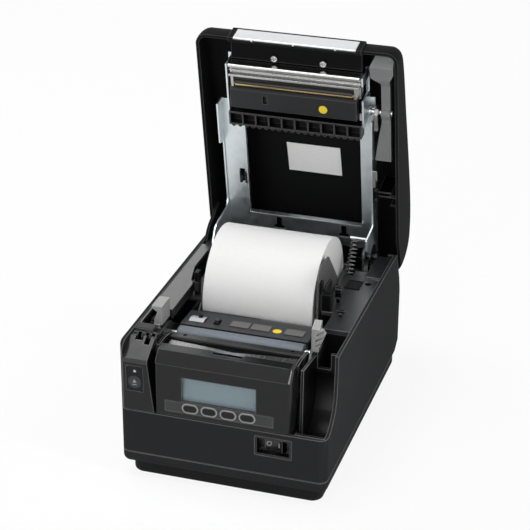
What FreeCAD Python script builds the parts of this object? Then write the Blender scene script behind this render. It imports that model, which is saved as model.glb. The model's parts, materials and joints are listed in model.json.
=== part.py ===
import FreeCAD, Part
import math
import os
from FreeCAD import Vector

# Receipt printer with a hinged top cover, drawn with the cover open.
# Sizes are in millimetres. While building, X runs to the right from the middle of the case,
# Y runs back from the front face and Z runs up from the table. The cover is drawn closed and
# then swung open about its hinge, and every finished piece is moved so that the origin lies
# at the centre of the floor area that the printer takes with its cover open.

# Case
HALF_W = 72.5
WALL = 2.5
CORNER_R = 6.0
FOOT_H = 1.0
BASE_TOP_Z = 12.0
SEAM_Z = 20.5
SEAM_GAP = 0.4
LEDGE_Z = 53.5
RIM_Z = 103.0
BASE_HALF_W = 67.5
BASE_FRONT_Y = 6.0
BASE_REAR_Y = 169.0
REAR_Y = 207.0
ORIGIN_Y = 116.4

# Cover and hinge
HINGE_Y = 189.0
HINGE_Z = 98.9
COVER_OPEN_DEG = 79.4
COVER_HALF_W = 73.0
COVER_RIM_Z = 103.5
COVER_FRONT_Y = 20.0
COVER_WALL = 2.4
PIN_R = 3.0
RUNNING_GAP = 0.05

# Print mechanism
PLATEN_Y = 51.5
PLATEN_Z = 87.6
PLATEN_R = 6.5
PLATEN_X = (-48.0, 42.0)
SHAFT_R = 3.0
NIP_GAP = 0.4
HEAD_Z = PLATEN_Z + PLATEN_R + NIP_GAP
HEAD_HALF_W = 47.5
HEATER_HALF_W = 42.5
LEFT_PLATE_X = (-58.5, -57.0)
RIGHT_PLATE_X = (48.0, 49.5)
COVER_ARM_LEFT_X = (-61.8, -60.6)
COVER_ARM_RIGHT_X = (52.8, 54.0)
SHEET = 1.2

# Paper roll
ROLL_Y = 129.5
ROLL_Z = 93.5
ROLL_R = 41.5
ROLL_X = (-43.4, 36.6)
CORE_R = 9.0
CORE_BORE_R = 6.5

# Gears of the paper feed
GEAR_MODULE = 0.8
PLATEN_TEETH = 24
IDLER_TEETH = 28
PINION_TEETH = 16
IDLER_ANGLE = -47.0
PINION_ANGLE = -100.0
GEAR_X = (-67.0, -61.0)
BACKLASH = 0.12

# Front panel
PANEL_Y = 0.8
PANEL_X = (-47.0, 47.4)
PANEL_TOP_Z = 99.0
LCD_X = (-28.0, 23.5)
LCD_Z = (66.3, 84.0)
STRIP_X = (-40.0, 35.5)
STRIP_Z = (57.2, 65.2)
KEY_X = (-22.3, -9.0, 4.3, 17.6)
KEY_Z = 61.3
KEY_W = 9.6
KEY_H = 5.2
SWITCH_X = (23.2, 48.4)
SWITCH_Z = (35.2, 49.6)

# Release lever on the cover
LEVER_PIVOT_Y = 70.5
LEVER_PIVOT_Z = 109.0
LEVER_ROD_R = 2.0

# Coil spring beside the right hinge
SPRING_X = 44.2
SPRING_FOOT = (143.5, 76.5)
SPRING_HEAD = (173.5, 117.0)
SPRING_LEAN = math.degrees(math.atan2(SPRING_HEAD[0] - SPRING_FOOT[0], SPRING_HEAD[1] - SPRING_FOOT[1]))
SPRING_R = 2.6
SPRING_WIRE_R = 0.6
SPRING_TURNS = 17


# Construction helpers

PLANES = {
    "yz": lambda a, b: Vector(0, a, b),
    "xz": lambda a, b: Vector(a, 0, b),
    "xy": lambda a, b: Vector(a, b, 0),
}


def outline(plane, start, *steps):
    """Face inside a closed outline; a step is an end point, or an arc's middle and end points."""
    place = PLANES[plane]
    edges = []
    here = start
    for step in steps + (start,):
        if isinstance(step[0], tuple):
            middle, end = step
            edges.append(Part.Arc(place(*here), place(*middle), place(*end)).toShape())
        else:
            end = step
            if end != here:
                edges.append(Part.LineSegment(place(*here), place(*end)).toShape())
        here = end
    return Part.Face(Part.Wire(edges))


def across(face, x0, x1):
    """Solid from a YZ face pulled along X."""
    moved = face.translated(Vector(x0, 0, 0))
    return moved.extrude(Vector(x1 - x0, 0, 0))


def inward(face, y0, y1):
    """Solid from an XZ face pulled along Y."""
    moved = face.translated(Vector(0, y0, 0))
    return moved.extrude(Vector(0, y1 - y0, 0))


def upward(face, z0, z1):
    """Solid from an XY face pulled along Z."""
    moved = face.translated(Vector(0, 0, z0))
    return moved.extrude(Vector(0, 0, z1 - z0))


def box(x0, x1, y0, y1, z0, z1):
    return Part.makeBox(x1 - x0, y1 - y0, z1 - z0, Vector(x0, y0, z0))


def rod_x(y, z, radius, x0, x1):
    return Part.makeCylinder(radius, x1 - x0, Vector(x0, y, z), Vector(1, 0, 0))


def rod_y(x, z, radius, y0, y1):
    return Part.makeCylinder(radius, y1 - y0, Vector(x, y0, z), Vector(0, 1, 0))


def rod_z(x, y, radius, z0, z1):
    return Part.makeCylinder(radius, z1 - z0, Vector(x, y, z0), Vector(0, 0, 1))


def runs_along(edge, axis):
    """True for a straight edge parallel to an axis."""
    if not isinstance(edge.Curve, Part.Line):
        return False
    direction = edge.Curve.Direction
    return abs(abs(direction.dot(axis)) - 1.0) < 1e-6


AXIS_X = Vector(1, 0, 0)
AXIS_Y = Vector(0, 1, 0)
AXIS_Z = Vector(0, 0, 1)


def rounded(shape, radius, axis, keep=None):
    """Shape with its straight edges along an axis rounded; keep picks some of them by midpoint."""
    chosen = []
    for edge in shape.Edges:
        middle = edge.CenterOfMass
        if runs_along(edge, axis) and (keep is None or keep(middle)):
            chosen.append(edge)
    return shape.makeFillet(radius, chosen)


def rounded_box(x0, x1, y0, y1, z0, z1, radius, axis):
    return rounded(box(x0, x1, y0, y1, z0, z1), radius, axis)


def fused(first, *others):
    return first.multiFuse(list(others)).removeSplitter()


def cut(shape, *tools):
    return shape.cut(list(tools))


def group(shapes):
    return Part.makeCompound(list(shapes))


def mirrored_x(shape):
    return shape.mirror(Vector(0, 0, 0), AXIS_X)


def oval_xz(x, z, width, height, y0, y1):
    """Flat oval with round ends, standing upright in the front plane."""
    r = height / 2.0
    half = width / 2.0 - r
    face = outline(
        "xz",
        (x - half, z - r),
        (x + half, z - r),
        ((x + half + r, z), (x + half, z + r)),
        (x - half, z + r),
        ((x - half - r, z), (x - half, z - r)),
    )
    return inward(face, y0, y1)


# Case


def case_profile():
    """Side view of the upper case: level rim, slanted rear corner and undercut rear foot."""
    return outline(
        "yz",
        (0, SEAM_Z + SEAM_GAP),
        (0, 90.0),
        ((2.0, 98.6), (8.0, RIM_Z)),
        (HINGE_Y - 1.0, RIM_Z),
        (198.6, 80.0),
        (206.6, 50.0),
        ((206.2, 37.0), (202.4, 27.0)),
        (192.5, SEAM_Z + SEAM_GAP),
    )


def upper_case():
    plan = rounded_box(-HALF_W, HALF_W, 0, REAR_Y, 0, 120, CORNER_R, AXIS_Z)
    body = across(case_profile(), -HALF_W, HALF_W).common(plan)
    inner_half = HALF_W - WALL
    inside = across(
        outline("yz", (WALL, 0), (WALL, 130), (186.0, 130), (186.0, RIM_Z), (196.2, 80.0),
                (204.0, 50.0), ((203.6, 38.0), (200.2, 29.0)), (190.0, 20.0), (190.0, 0)),
        -inner_half, inner_half)
    front_opening = box(-inner_half, inner_half, -1, WALL + 0.2, LEDGE_Z, 130)
    grip_curve = across(
        outline("yz", (-5, LEDGE_Z), (3.0, LEDGE_Z), ((18.0, 60.5), (25.2, 77.0)), (28.8, 130),
                (-5, 130)),
        inner_half - 1, HALF_W + 1)
    switch_window = box(SWITCH_X[0], SWITCH_X[1], -1, WALL + 1, SWITCH_Z[0], SWITCH_Z[1])
    rear_dip = box(-inner_half, 66.0, 178.0, 215.0, 82.0, 130)
    socket_window = box(-54.0, 54.0, 190.0, 215.0, 25.0, 47.0)
    cable_dip = box(-54.0, 54.0, 188.0, 215.0, 10.0, 25.5)
    return cut(body, inside, front_opening, grip_curve, switch_window, rear_dip, socket_window, cable_dip)


def lower_case():
    rear = 191.0
    plate = rounded_box(-HALF_W, HALF_W, 0, rear, BASE_TOP_Z, SEAM_Z, CORNER_R, AXIS_Z)
    under = [e for e in plate.Edges if abs(e.BoundBox.ZMax - BASE_TOP_Z) < 1e-6]
    plate = plate.makeFillet(4.0, under)
    rear_slope = across(outline("yz", (180.0, BASE_TOP_Z - 1), (rear + 2, SEAM_Z + 1),
                                (rear + 2, BASE_TOP_Z - 1)),
                        -HALF_W - 1, HALF_W + 1)
    hollow = rounded_box(-HALF_W + WALL, HALF_W - WALL, WALL, 176.0, BASE_TOP_Z + WALL, SEAM_Z + 1,
                         4.0, AXIS_Z)
    pillars = [rod_z(x, y, 4.0, BASE_TOP_Z + 1, 34.0) for x, y in PILLAR_SPOTS]
    rests = [rod_z(x, y, 3.0, BASE_TOP_Z + 1, 22.5) for x in (-58.0, 58.0) for y in (20.0, 150.0)]
    return fused(cut(plate, rear_slope, hollow), *pillars, *rests)


PILLAR_SPOTS = [(-48.0, 42.0), (40.0, 42.0), (-48.0, 158.0), (40.0, 158.0)]


def base_tray():
    tray = rounded_box(-BASE_HALF_W, BASE_HALF_W, BASE_FRONT_Y, BASE_REAR_Y, FOOT_H, BASE_TOP_Z, 8.0,
                       AXIS_Z)
    under = [e for e in tray.Edges if abs(e.BoundBox.ZMax - FOOT_H) < 1e-6]
    tray = tray.makeFillet(2.5, under)
    hollow = rounded_box(-BASE_HALF_W + WALL, BASE_HALF_W - WALL, BASE_FRONT_Y + WALL, BASE_REAR_Y - WALL,
                         FOOT_H + WALL, BASE_TOP_Z + 1, 5.5, AXIS_Z)
    pockets = [rod_z(x, y, FOOT_R + 0.2, FOOT_H - 1, FOOT_H + 1.0) for x, y in FOOT_SPOTS]
    holes = [rod_z(x, y, 3.6, FOOT_H - 1, FOOT_H + 1.2) for x, y in BASE_SCREW_SPOTS]
    return cut(tray, hollow, *pockets, *holes)


FOOT_R = 8.0
FOOT_SPOTS = [(-52.0, 22.0), (52.0, 22.0), (-52.0, 152.0), (52.0, 152.0)]
BASE_SCREW_SPOTS = [(-56.0, 45.0), (56.0, 45.0), (-56.0, 130.0), (56.0, 130.0)]


def rubber_feet():
    return group(rod_z(x, y, FOOT_R, 0, FOOT_H + 1.0) for x, y in FOOT_SPOTS)


def left_deck():
    """Flush cover of the left side: a broad plate, a bar before the post's opening, a hanging lip."""
    outer = -HALF_W + WALL + 0.2
    plan = outline("xy", (outer, 25.4), (-57.0, 25.4), (-57.0, 33.4), (-68.4, 33.4), (-68.4, 57.6),
                   (-54.6, 57.6),
                   (-54.6, 101.0), (-58.0, 106.0), (-62.4, 126.0), (-62.4, 180.0), (-67.2, 180.0),
                   (-67.2, 163.5),
                   (outer, 163.5))
    lip = box(-56.0, -54.6, 58.0, 100.0, 95.6, 101.0)
    return fused(upward(plan, 100.4, 102.6), lip)


def right_deck():
    """Cover of the right side with a raised rear step, a gap for the hinge and slots for its two hooks."""
    outer = HALF_W - WALL - 0.2
    plate = fused(box(50.6, outer, 68.0, 187.0, 97.2, 99.8), box(42.0, 51.0, 92.0, 170.0, 97.2, 99.8))
    front = box(50.6, outer, 68.0, 70.5, 66.0, 97.2)
    step = box(58.5, outer, 150.0, 185.8, 99.8, 101.2)
    hinge_gap = box(40.0, 58.5, 160.0, 190.0, 90, 110)
    spring_gap = box(40.0, 48.6, 152.0, 161.0, 90, 110)
    hook_slots = [box(x - 1.4, x + 1.4, y, y + 2.4, 90, 110) for x, y, top in DECK_CLIPS]
    grommet = rod_z(62.5, 142.0, 2.6, 90, 110)
    return cut(fused(plate, front, step), hinge_gap, spring_gap, grommet, *hook_slots)


DECK_CLIPS = ((49.8, 107.4, 108.2), (57.0, 87.0, 105.0))


def deck_clips():
    """Snap hooks on the right deck: a shield with a nose at its top, on a stem through the deck."""
    clips = []
    for x, y, top in DECK_CLIPS:
        shield = inward(outline("xz", (x - 1.6, 99.9), (x + 1.6, 99.9), (x + 2.4, 103.0), (x + 2.4, top),
                                (x - 2.4, top), (x - 2.4, 103.0)), y, y + 2.4)
        nose = across(outline("yz", (y + 0.2, top - 3.4), (y + 0.2, top), (y - 1.2, top - 0.4),
                              (y - 1.2, top - 2.0)),
                      x - 2.4, x + 2.4)
        stem = box(x - 1.2, x + 1.2, y + 0.2, y + 2.2, 92.0, 100.4)
        clips.append(fused(shield, nose, stem))
    return group(clips)


def finger_recess():
    """Scooped liner under the release lever: a curved floor between a side wall and the case."""
    x0, x1 = 49.8, HALF_W - WALL - 0.2
    outer = outline("yz", (2.9, 51.0), (6.0, 42.0), ((24.0, 38.5), (44.0, 50.0)),
                    ((49.2, 62.0), (50.0, 78.0)),
                    (50.0, 92.0), (47.6, 92.0), (47.6, 78.0), ((46.8, 63.0), (42.2, 52.0)),
                    ((24.0, 41.0), (7.6, 43.8)), (5.2, LEDGE_Z), (2.9, LEDGE_Z))
    floor = across(outer, x0, x1)
    side = across(outline("yz", (14.0, 42.0), ((24.0, 38.5), (44.0, 50.0)), ((49.2, 62.0), (50.0, 78.0)),
                          (50.0, 90.0), (16.0, 95.0)), x0, x0 + 2.0)
    lowered_back = box(52.4, 61.6, 40.0, 52.0, 80.4, 95.0)
    return cut(fused(floor, side), lowered_back)


# Front panel


PANEL_ROUND_R = 4.0


def display_panel():
    """Hollow bezel: vertical face, bevelled top with a thumb notch, right end that rolls over."""
    x0, x1 = PANEL_X
    foot_z = LEDGE_Z + 0.3
    side = outline("yz", (PANEL_Y, foot_z), (PANEL_Y, 92.0), (8.5, PANEL_TOP_Z), (17.0, PANEL_TOP_Z),
                   (17.0, foot_z))
    block = rounded(across(side, x0, x1), 1.6, AXIS_Z, lambda p: p.y < PANEL_Y + 0.1 and p.x < 0)
    right_end = [e for e in block.Edges if e.BoundBox.XMin > x1 - 0.01 and e.CenterOfMass.y < 16.0
                 and e.CenterOfMass.z > foot_z + 1.0]
    block = block.makeFillet(PANEL_ROUND_R, right_end)
    hollow = across(outline("yz", (3.4, foot_z - 1), (3.4, 91.0), (9.4, 96.6), (18.0, 96.6),
                            (18.0, foot_z - 1)),
                    x0 + 2.0, x1 - 2.0)
    body = cut(block, hollow)
    window = box(LCD_X[0], LCD_X[1], -1, 6, LCD_Z[0], LCD_Z[1])
    window_seat = box(LCD_X[0] - 1.6, LCD_X[1] + 1.6, 2.2, 6, LCD_Z[0] - 1.2, LCD_Z[1] + 1.6)
    strip_seat = box(STRIP_X[0], STRIP_X[1], -1, PANEL_Y + 0.7, STRIP_Z[0], STRIP_Z[1])
    key_holes = [oval_xz(x, KEY_Z, KEY_W + 0.4, KEY_H + 0.4, -1, 6) for x in KEY_X]
    notch = across(outline("yz", (10.2, 90.0), ((12.0, 97.0), (11.0, 110.0)), (19.0, 110.0),
                           (19.0, 90.0)),
                   -10.5, 11.0)
    return cut(body, window, window_seat, strip_seat, notch, *key_holes)


def display_window():
    return box(LCD_X[0] - 1.4, LCD_X[1] + 1.4, 2.3, 3.3, LCD_Z[0] - 1.0, LCD_Z[1] + 1.4)


def display_module():
    """Character display on the back of the window, with a raised glass in its frame."""
    frame = box(LCD_X[0] - 4.0, LCD_X[1] + 4.0, 4.0, 7.6, LCD_Z[0] - 0.9, LCD_Z[1] + 4.0)
    glass = box(LCD_X[0] - 1.2, LCD_X[1] + 1.2, 3.4, 4.0, LCD_Z[0] - 0.8, LCD_Z[1] + 1.2)
    return fused(frame, glass)


def key_strip():
    strip = box(STRIP_X[0] + 0.1, STRIP_X[1] - 0.1, PANEL_Y + 0.1, PANEL_Y + 0.7, STRIP_Z[0] + 0.1,
                STRIP_Z[1] - 0.1)
    holes = [oval_xz(x, KEY_Z, KEY_W + 0.4, KEY_H + 0.4, -1, 6) for x in KEY_X]
    return cut(strip, *holes)


def panel_key(x):
    """Oval key with a collar that keeps it behind the bezel."""
    cap = oval_xz(x, KEY_Z, KEY_W, KEY_H, 0.35, 4.2)
    collar = oval_xz(x, KEY_Z, KEY_W + 2.2, KEY_H + 1.2, 3.6, 4.6)
    stem = rod_y(x, KEY_Z, 1.4, 4.6, 6.6)
    return fused(cap, collar, stem)


FEED_X = (-69.6, -47.4)
FEED_KEY_X = (-66.8, -55.6)
FEED_KEY_Z = (69.0, 87.2)
FEED_MID_X = (FEED_KEY_X[0] + FEED_KEY_X[1]) / 2.0


def feed_panel():
    """Left front panel: a flat face, a sloped top and a right edge cut back towards the display."""
    right = FEED_X[1] - 0.4
    profile = outline("yz", (0.3, LEDGE_Z + 0.3), (0.3, 90.0), (1.6, 92.2), (17.0, 101.4), (19.0, 101.4),
                      (19.0, 99.0), (17.2, 99.0), (3.0, 90.6), (3.0, LEDGE_Z + 0.3))
    side = outline("yz", (0.3, LEDGE_Z + 0.3), (0.3, 90.0), (1.6, 92.2), (17.0, 101.4), (19.0, 101.4),
                   (19.0, LEDGE_Z + 0.3))
    slanted = inward(outline("xz", (right - 2.0, LEDGE_Z), (right, LEDGE_Z), (-52.4, 92.0),
                             (-52.4, 104.0),
                             (-54.4, 104.0), (-54.4, 92.0)), 0.0, 20.0)
    body = fused(across(profile, FEED_X[0], right), slanted.common(across(side, FEED_X[0], right)))
    beyond = inward(outline("xz", (right, LEDGE_Z), (right + 2, LEDGE_Z), (right + 2, 120),
                            (-52.4, 120), (-52.4, 92.0)),
                    -2, 20.0)
    key_hole = box(FEED_KEY_X[0] - 0.3, FEED_KEY_X[1] + 0.3, -2, 6, FEED_KEY_Z[0] - 0.3,
                   FEED_KEY_Z[1] + 0.3)
    bites = [box(-65.8, -60.2, 14.6, 20.0, 90, 110), box(-58.6, -54.9, 12.2, 20.0, 90, 110)]
    return cut(body, beyond, key_hole, *bites)


def feed_key():
    cap = rounded_box(FEED_KEY_X[0], FEED_KEY_X[1], 0.5, 4.4, FEED_KEY_Z[0], FEED_KEY_Z[1], 1.2, AXIS_Y)
    collar = box(FEED_KEY_X[0] - 1.0, FEED_KEY_X[1] + 1.0, 3.6, 4.6, FEED_KEY_Z[0] - 1.0,
                 FEED_KEY_Z[1] + 1.0)
    light_hole = rod_y(FEED_MID_X, 83.4, 1.35, -1, 8)
    pad = rod_y(FEED_MID_X, 75.6, 4.6, 0.2, 0.8)
    return cut(fused(cap, collar, pad), light_hole)


def status_light():
    stem = rod_y(FEED_MID_X, 83.4, 1.2, 1.6, 9.2)
    dome = Part.makeSphere(1.2, Vector(FEED_MID_X, 1.6, 83.4))
    return fused(stem, dome)


def switch_housing():
    """Open recess behind the front wall with a sloped frame, and the rocker's well in its floor."""
    x0, x1 = SWITCH_X[0] + 0.15, SWITCH_X[1] - 0.15
    z0, z1 = SWITCH_Z[0] + 0.15, SWITCH_Z[1] - 0.15
    shell = box(x0, x1, 0.2, 22.0, z0, z1)
    flange = box(x0 - 1.2, x1 + 1.2, WALL + 0.1, WALL + 1.3, z0 - 1.2, z1 + 1.2)
    recess = box(x0 + 1.2, x1 - 1.2, -1, 6.0, z0 + 1.2, z1 - 1.2)
    mouth = [e for e in recess.Edges if abs(e.CenterOfMass.y - 6.0) < 0.01]
    recess = recess.makeChamfer(1.4, mouth)
    well = box(ROCKER_X - 7.7, ROCKER_X + 7.7, -1, 18.0, ROCKER_Z[0] - 0.3, ROCKER_Z[1] + 0.3)
    return cut(fused(shell, flange), recess, well)


ROCKER_X = 36.0
ROCKER_Y = 9.5
ROCKER_Z = (37.2, 47.0)
ROCKER_TILT = 7.0


def power_rocker():
    """Rocker with a hollowed face on a round barrel; its left half is pressed in."""
    x, y = ROCKER_X, ROCKER_Y
    face = outline("xy", (x - 6.3, 3.4), ((x, 5.4), (x + 6.3, 3.4)), (x + 6.0, 10.0),
                   ((x, 14.6), (x - 6.0, 10.0)))
    body = upward(face, *ROCKER_Z)
    body.rotate(Vector(x, y, 0), AXIS_Z, -ROCKER_TILT)
    return body


# Inner frame


def plate_profile():
    """Steel side plate: a front lug for the platen, a low middle and a rear lug for the hinge."""
    return outline("yz", (30.0, 34.0), (166.0, 34.0), (183.0, 56.0), (193.0, 64.0), (194.4, 97.0),
                   ((HINGE_Y - 0.5, 106.4), (HINGE_Y - 8.0, 98.0)), (HINGE_Y - 9.0, 84.0), (160.0, 78.0),
                   (84.0, 78.0), (66.0, 88.0), (60.0, 93.0), (42.0, 93.0), (36.0, 86.0), (30.0, 70.0))


def side_plate(x_range):
    plate = across(plate_profile(), *x_range)
    bearing_seat = rod_x(PLATEN_Y, PLATEN_Z, 5.0, x_range[0] - 1, x_range[1] + 1)
    pin_seat = rod_x(HINGE_Y, HINGE_Z, PIN_R, x_range[0] - 1, x_range[1] + 1)
    window = across(outline("yz", (96.0, 44.0), (168.0, 44.0), (168.0, 66.0), (96.0, 66.0)),
                    x_range[0] - 1, x_range[1] + 1)
    return cut(plate, bearing_seat, pin_seat, window)


def chassis_frame():
    """Folded steel frame: two side plates on a floor, the idler's post and the spring's seat."""
    idler_y, idler_z = idler_centre()
    pinion_y, pinion_z = pinion_centre()
    left = cut(side_plate(LEFT_PLATE_X),
               rod_x(pinion_y, pinion_z, 3.0, LEFT_PLATE_X[0] - 1, LEFT_PLATE_X[1] + 1))
    x0, x1 = LEFT_PLATE_X[1], RIGHT_PLATE_X[0]
    floor = cut(box(x0, x1, 34.0, 166.0, 34.0, 35.5), box(-30.0, 24.0, 60.0, 110.0, 30, 40))
    post = fused(rod_x(idler_y, idler_z, 1.5, GEAR_X[0] - 0.8, LEFT_PLATE_X[1]),
                 rod_x(idler_y, idler_z, 2.6, GEAR_X[0] - 1.4, GEAR_X[0] - 0.4))
    seat = box(SPRING_X - 3.4, x1, -3.6, 3.6, -2.4, -1.2)
    seat.rotate(Vector(0, 0, 0), AXIS_X, -SPRING_LEAN)
    seat.translate(Vector(0, *SPRING_FOOT))
    return fused(left, side_plate(RIGHT_PLATE_X), floor, post, seat)


def hinge_pins():
    left = fused(rod_x(HINGE_Y, HINGE_Z, PIN_R, -66.0, LEFT_PLATE_X[1]),
                 rod_x(HINGE_Y, HINGE_Z, PIN_R + 1.5, LEFT_PLATE_X[1], LEFT_PLATE_X[1] + 1.5),
                 rod_x(HINGE_Y, HINGE_Z, PIN_R + 1.2, -66.8, -65.2))
    right = fused(rod_x(HINGE_Y, HINGE_Z, PIN_R, RIGHT_PLATE_X[0], 57.0),
                  rod_x(HINGE_Y, HINGE_Z, PIN_R + 1.5, RIGHT_PLATE_X[0] - 1.5, RIGHT_PLATE_X[0]),
                  rod_x(HINGE_Y, HINGE_Z, PIN_R + 1.2, 56.2, 57.8))
    return group([left, right])


def platen_bearings():
    bushes = []
    for x0, x1 in ((LEFT_PLATE_X[0] - 1.0, LEFT_PLATE_X[1]), (RIGHT_PLATE_X[0] - 1.4, RIGHT_PLATE_X[1])):
        body = rod_x(PLATEN_Y, PLATEN_Z, 5.0, x0, x1)
        bushes.append(cut(body, rod_x(PLATEN_Y, PLATEN_Z, SHAFT_R + RUNNING_GAP, x0 - 1, x1 + 1)))
    return group(bushes)


def platen_shaft():
    return rod_x(PLATEN_Y, PLATEN_Z, SHAFT_R, GEAR_X[0], RIGHT_PLATE_X[1])


def platen_roller():
    tube = rod_x(PLATEN_Y, PLATEN_Z, PLATEN_R, *PLATEN_X)
    ends = [e for e in tube.Edges if isinstance(e.Curve, Part.Circle)]
    tube = tube.makeChamfer(0.6, ends)
    return cut(tube, rod_x(PLATEN_Y, PLATEN_Z, SHAFT_R, PLATEN_X[0] - 1, PLATEN_X[1] + 1))


# Feed gears


def pitch_radius(teeth):
    return GEAR_MODULE * teeth / 2.0


def idler_centre():
    reach = pitch_radius(PLATEN_TEETH) + pitch_radius(IDLER_TEETH)
    angle = math.radians(IDLER_ANGLE)
    return PLATEN_Y + reach * math.cos(angle), PLATEN_Z + reach * math.sin(angle)


def pinion_centre():
    reach = pitch_radius(IDLER_TEETH) + pitch_radius(PINION_TEETH)
    angle = math.radians(PINION_ANGLE)
    y, z = idler_centre()
    return y + reach * math.cos(angle), z + reach * math.sin(angle)


def involute(angle):
    return math.tan(angle) - angle


def spur_gear(teeth, centre, tooth_at, x0, x1, bore):
    """Involute spur gear about X; tooth_at is the direction of the middle of one tooth."""
    pitch = pitch_radius(teeth)
    pressure = math.radians(20.0)
    base = pitch * math.cos(pressure)
    tip = pitch + 0.95 * GEAR_MODULE
    root = pitch - 1.25 * GEAR_MODULE
    half_at_pitch = math.pi / (2 * teeth) - BACKLASH / (2 * pitch)
    start = max(base, root)
    flank = []
    for share in (0.0, 0.5, 1.0):
        radius = start + share * (tip - start)
        pressure_here = math.acos(min(1.0, base / radius))
        flank.append((radius, half_at_pitch + involute(pressure) - involute(pressure_here)))
    points = []
    for tooth in range(teeth):
        middle = tooth_at + 2 * math.pi * tooth / teeth
        rising = [(root, -flank[0][1])] + [(radius, -half) for radius, half in flank]
        falling = [(radius, half) for radius, half in reversed(flank)] + [(root, flank[0][1])]
        for radius, turn in rising + falling:
            points.append((centre[0] + radius * math.cos(middle + turn),
                           centre[1] + radius * math.sin(middle + turn)))
    wheel = across(outline("yz", *points), x0, x1)
    return cut(wheel, rod_x(centre[0], centre[1], bore, x0 - 1, x1 + 1))


def platen_gear():
    tooth_at = math.radians(IDLER_ANGLE)
    return spur_gear(PLATEN_TEETH, (PLATEN_Y, PLATEN_Z), tooth_at, *GEAR_X, SHAFT_R)


def idler_gear():
    gap_at = math.radians(IDLER_ANGLE + 180.0)
    tooth_at = gap_at + math.pi / IDLER_TEETH
    return spur_gear(IDLER_TEETH, idler_centre(), tooth_at, *GEAR_X, 1.5 + RUNNING_GAP)


def motor_pinion():
    """Pinion on its shaft; a gap faces the idler tooth nearest to the line between the centres."""
    idler_tooth = math.radians(IDLER_ANGLE + 180.0) + math.pi / IDLER_TEETH
    toward = math.radians(PINION_ANGLE)
    step = 2 * math.pi / IDLER_TEETH
    offset = (toward - idler_tooth) / step
    lead = (offset - round(offset)) * step
    gap_at = toward + math.pi + lead * IDLER_TEETH / PINION_TEETH
    tooth_at = gap_at + math.pi / PINION_TEETH
    wheel = spur_gear(PINION_TEETH, pinion_centre(), tooth_at, *GEAR_X, 0.9)
    return fused(wheel, rod_x(*pinion_centre(), 1.0, GEAR_X[0] - 0.6, LEFT_PLATE_X[1] + 5.0))


def feed_motor():
    """Stepper motor on the inside of the left plate, with a square flange and a bearing boss."""
    y, z = pinion_centre()
    x0 = LEFT_PLATE_X[1]
    flange = rounded_box(x0, x0 + 2.0, y - 16.0, y + 16.0, z - 16.0, z + 16.0, 5.0, AXIS_X)
    can = rod_x(y, z, 15.0, x0 + 2.0, x0 + 24.0)
    boss = cut(rod_x(y, z, 2.9, LEFT_PLATE_X[0] - 0.4, x0),
               rod_x(y, z, 1.0 + RUNNING_GAP, x0 - 4, x0 + 1))
    well = rod_x(y, z, 1.0 + RUNNING_GAP, x0 - 1, x0 + 6)
    return cut(fused(flange, can, boss), well)


# Paper path


HOPPER_X = (-45.6, 40.2)


def hopper_curve(radius, drop):
    """Points of the cradle: front lip, bottom and rear lip of an arc a little larger than the roll."""
    centre_z = ROLL_Z + radius - ROLL_R - drop
    lip = math.sqrt(radius ** 2 - (90.0 - centre_z) ** 2)
    return (ROLL_Y - lip, 90.0), (ROLL_Y, centre_z - radius), (ROLL_Y + lip, 90.0)


def paper_hopper():
    """Cradle for the roll: a curved sheet between end walls with rounded cheeks, and a left shelf."""
    inner_front, inner_low, inner_rear = hopper_curve(44.0, 0.5)
    outer_front, outer_low, outer_rear = hopper_curve(46.0, 2.5)
    sheet = outline("yz", inner_front, (inner_low, inner_rear), (inner_rear[0], 97.0),
                    (outer_rear[0], 97.0),
                    outer_rear, (outer_low, outer_front))
    end = outline("yz", outer_front, (outer_low, outer_rear), (outer_rear[0], 97.0), (92.0, 96.0),
                  (89.6, 94.0))
    x0, x1 = HOPPER_X
    shelf = box(-57.0, x0, 92.0, 162.0, 93.0, 95.0)
    right = outline("yz", (90.0, 95.0), (90.4, 120.0), ((91.6, 126.6), (96.0, 131.0)), (116.5, 130.0),
                    (141.0, 103.0),
                    (142.0, 95.0))
    left = outline("yz", (104.0, 96.0), (106.0, 106.0), ((112.0, 110.5), (118.0, 108.0)),
                   (132.0, 101.0), (134.0, 96.0))
    body = fused(across(sheet, x0, x1), across(end, x0, x0 + 1.4), across(end, x1 - 1.4, x1), shelf,
                 across(right, x1 - 1.4, x1), across(left, x0, x0 + 1.4),
                 rounded(box(x1 - 0.4, x1 + 1.5, 104.0, 121.0, 93.0, 112.0), 3.0, AXIS_X,
                         lambda p: p.z > 100.0))
    sensor_hole = rod_x(112.0, 66.0, 3.5, x0 - 1, x0 + 3)
    return cut(body, sensor_hole)


def paper_roll():
    roll = rod_x(ROLL_Y, ROLL_Z, ROLL_R, *ROLL_X)
    return cut(roll, rod_x(ROLL_Y, ROLL_Z, CORE_R, ROLL_X[0] - 1, ROLL_X[1] + 1))


def paper_core():
    tube = rod_x(ROLL_Y, ROLL_Z, CORE_R, ROLL_X[0] + 0.3, ROLL_X[1] - 0.3)
    return cut(tube, rod_x(ROLL_Y, ROLL_Z, CORE_BORE_R, ROLL_X[0] - 1, ROLL_X[1] + 1))


PAD_SPOTS = ((-9.6, 13.5), (5.4, 13.5), (29.6, 13.5))
PAD_Y = (66.0, 75.0)


def guide_plate():
    """Sloped paper guide from the roll to the platen, with shallow square pads and a sensor slot."""
    profile = outline("yz", (59.2, 92.0), (83.4, 90.4), (83.4, 84.0), (81.6, 84.0), (81.6, 88.6),
                      (60.6, 89.8),
                      (60.6, 82.0), (59.2, 82.0))
    plate = across(profile, -50.0, 42.0)
    sensor_slot = box(-28.2, -23.8, 65.5, 73.5, 80, 100)
    lens_slot = box(-46.4, -34.2, 65.4, 75.2, 80, 100)
    pads = []
    for x, width in PAD_SPOTS:
        pads.append(across(outline("yz", (PAD_Y[0], 91.0), (PAD_Y[1], 90.4), (PAD_Y[1], 91.5),
                                   (PAD_Y[0], 92.1)),
                           x - width / 2, x + width / 2))
    return cut(fused(plate, *pads), sensor_slot, lens_slot)


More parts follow.
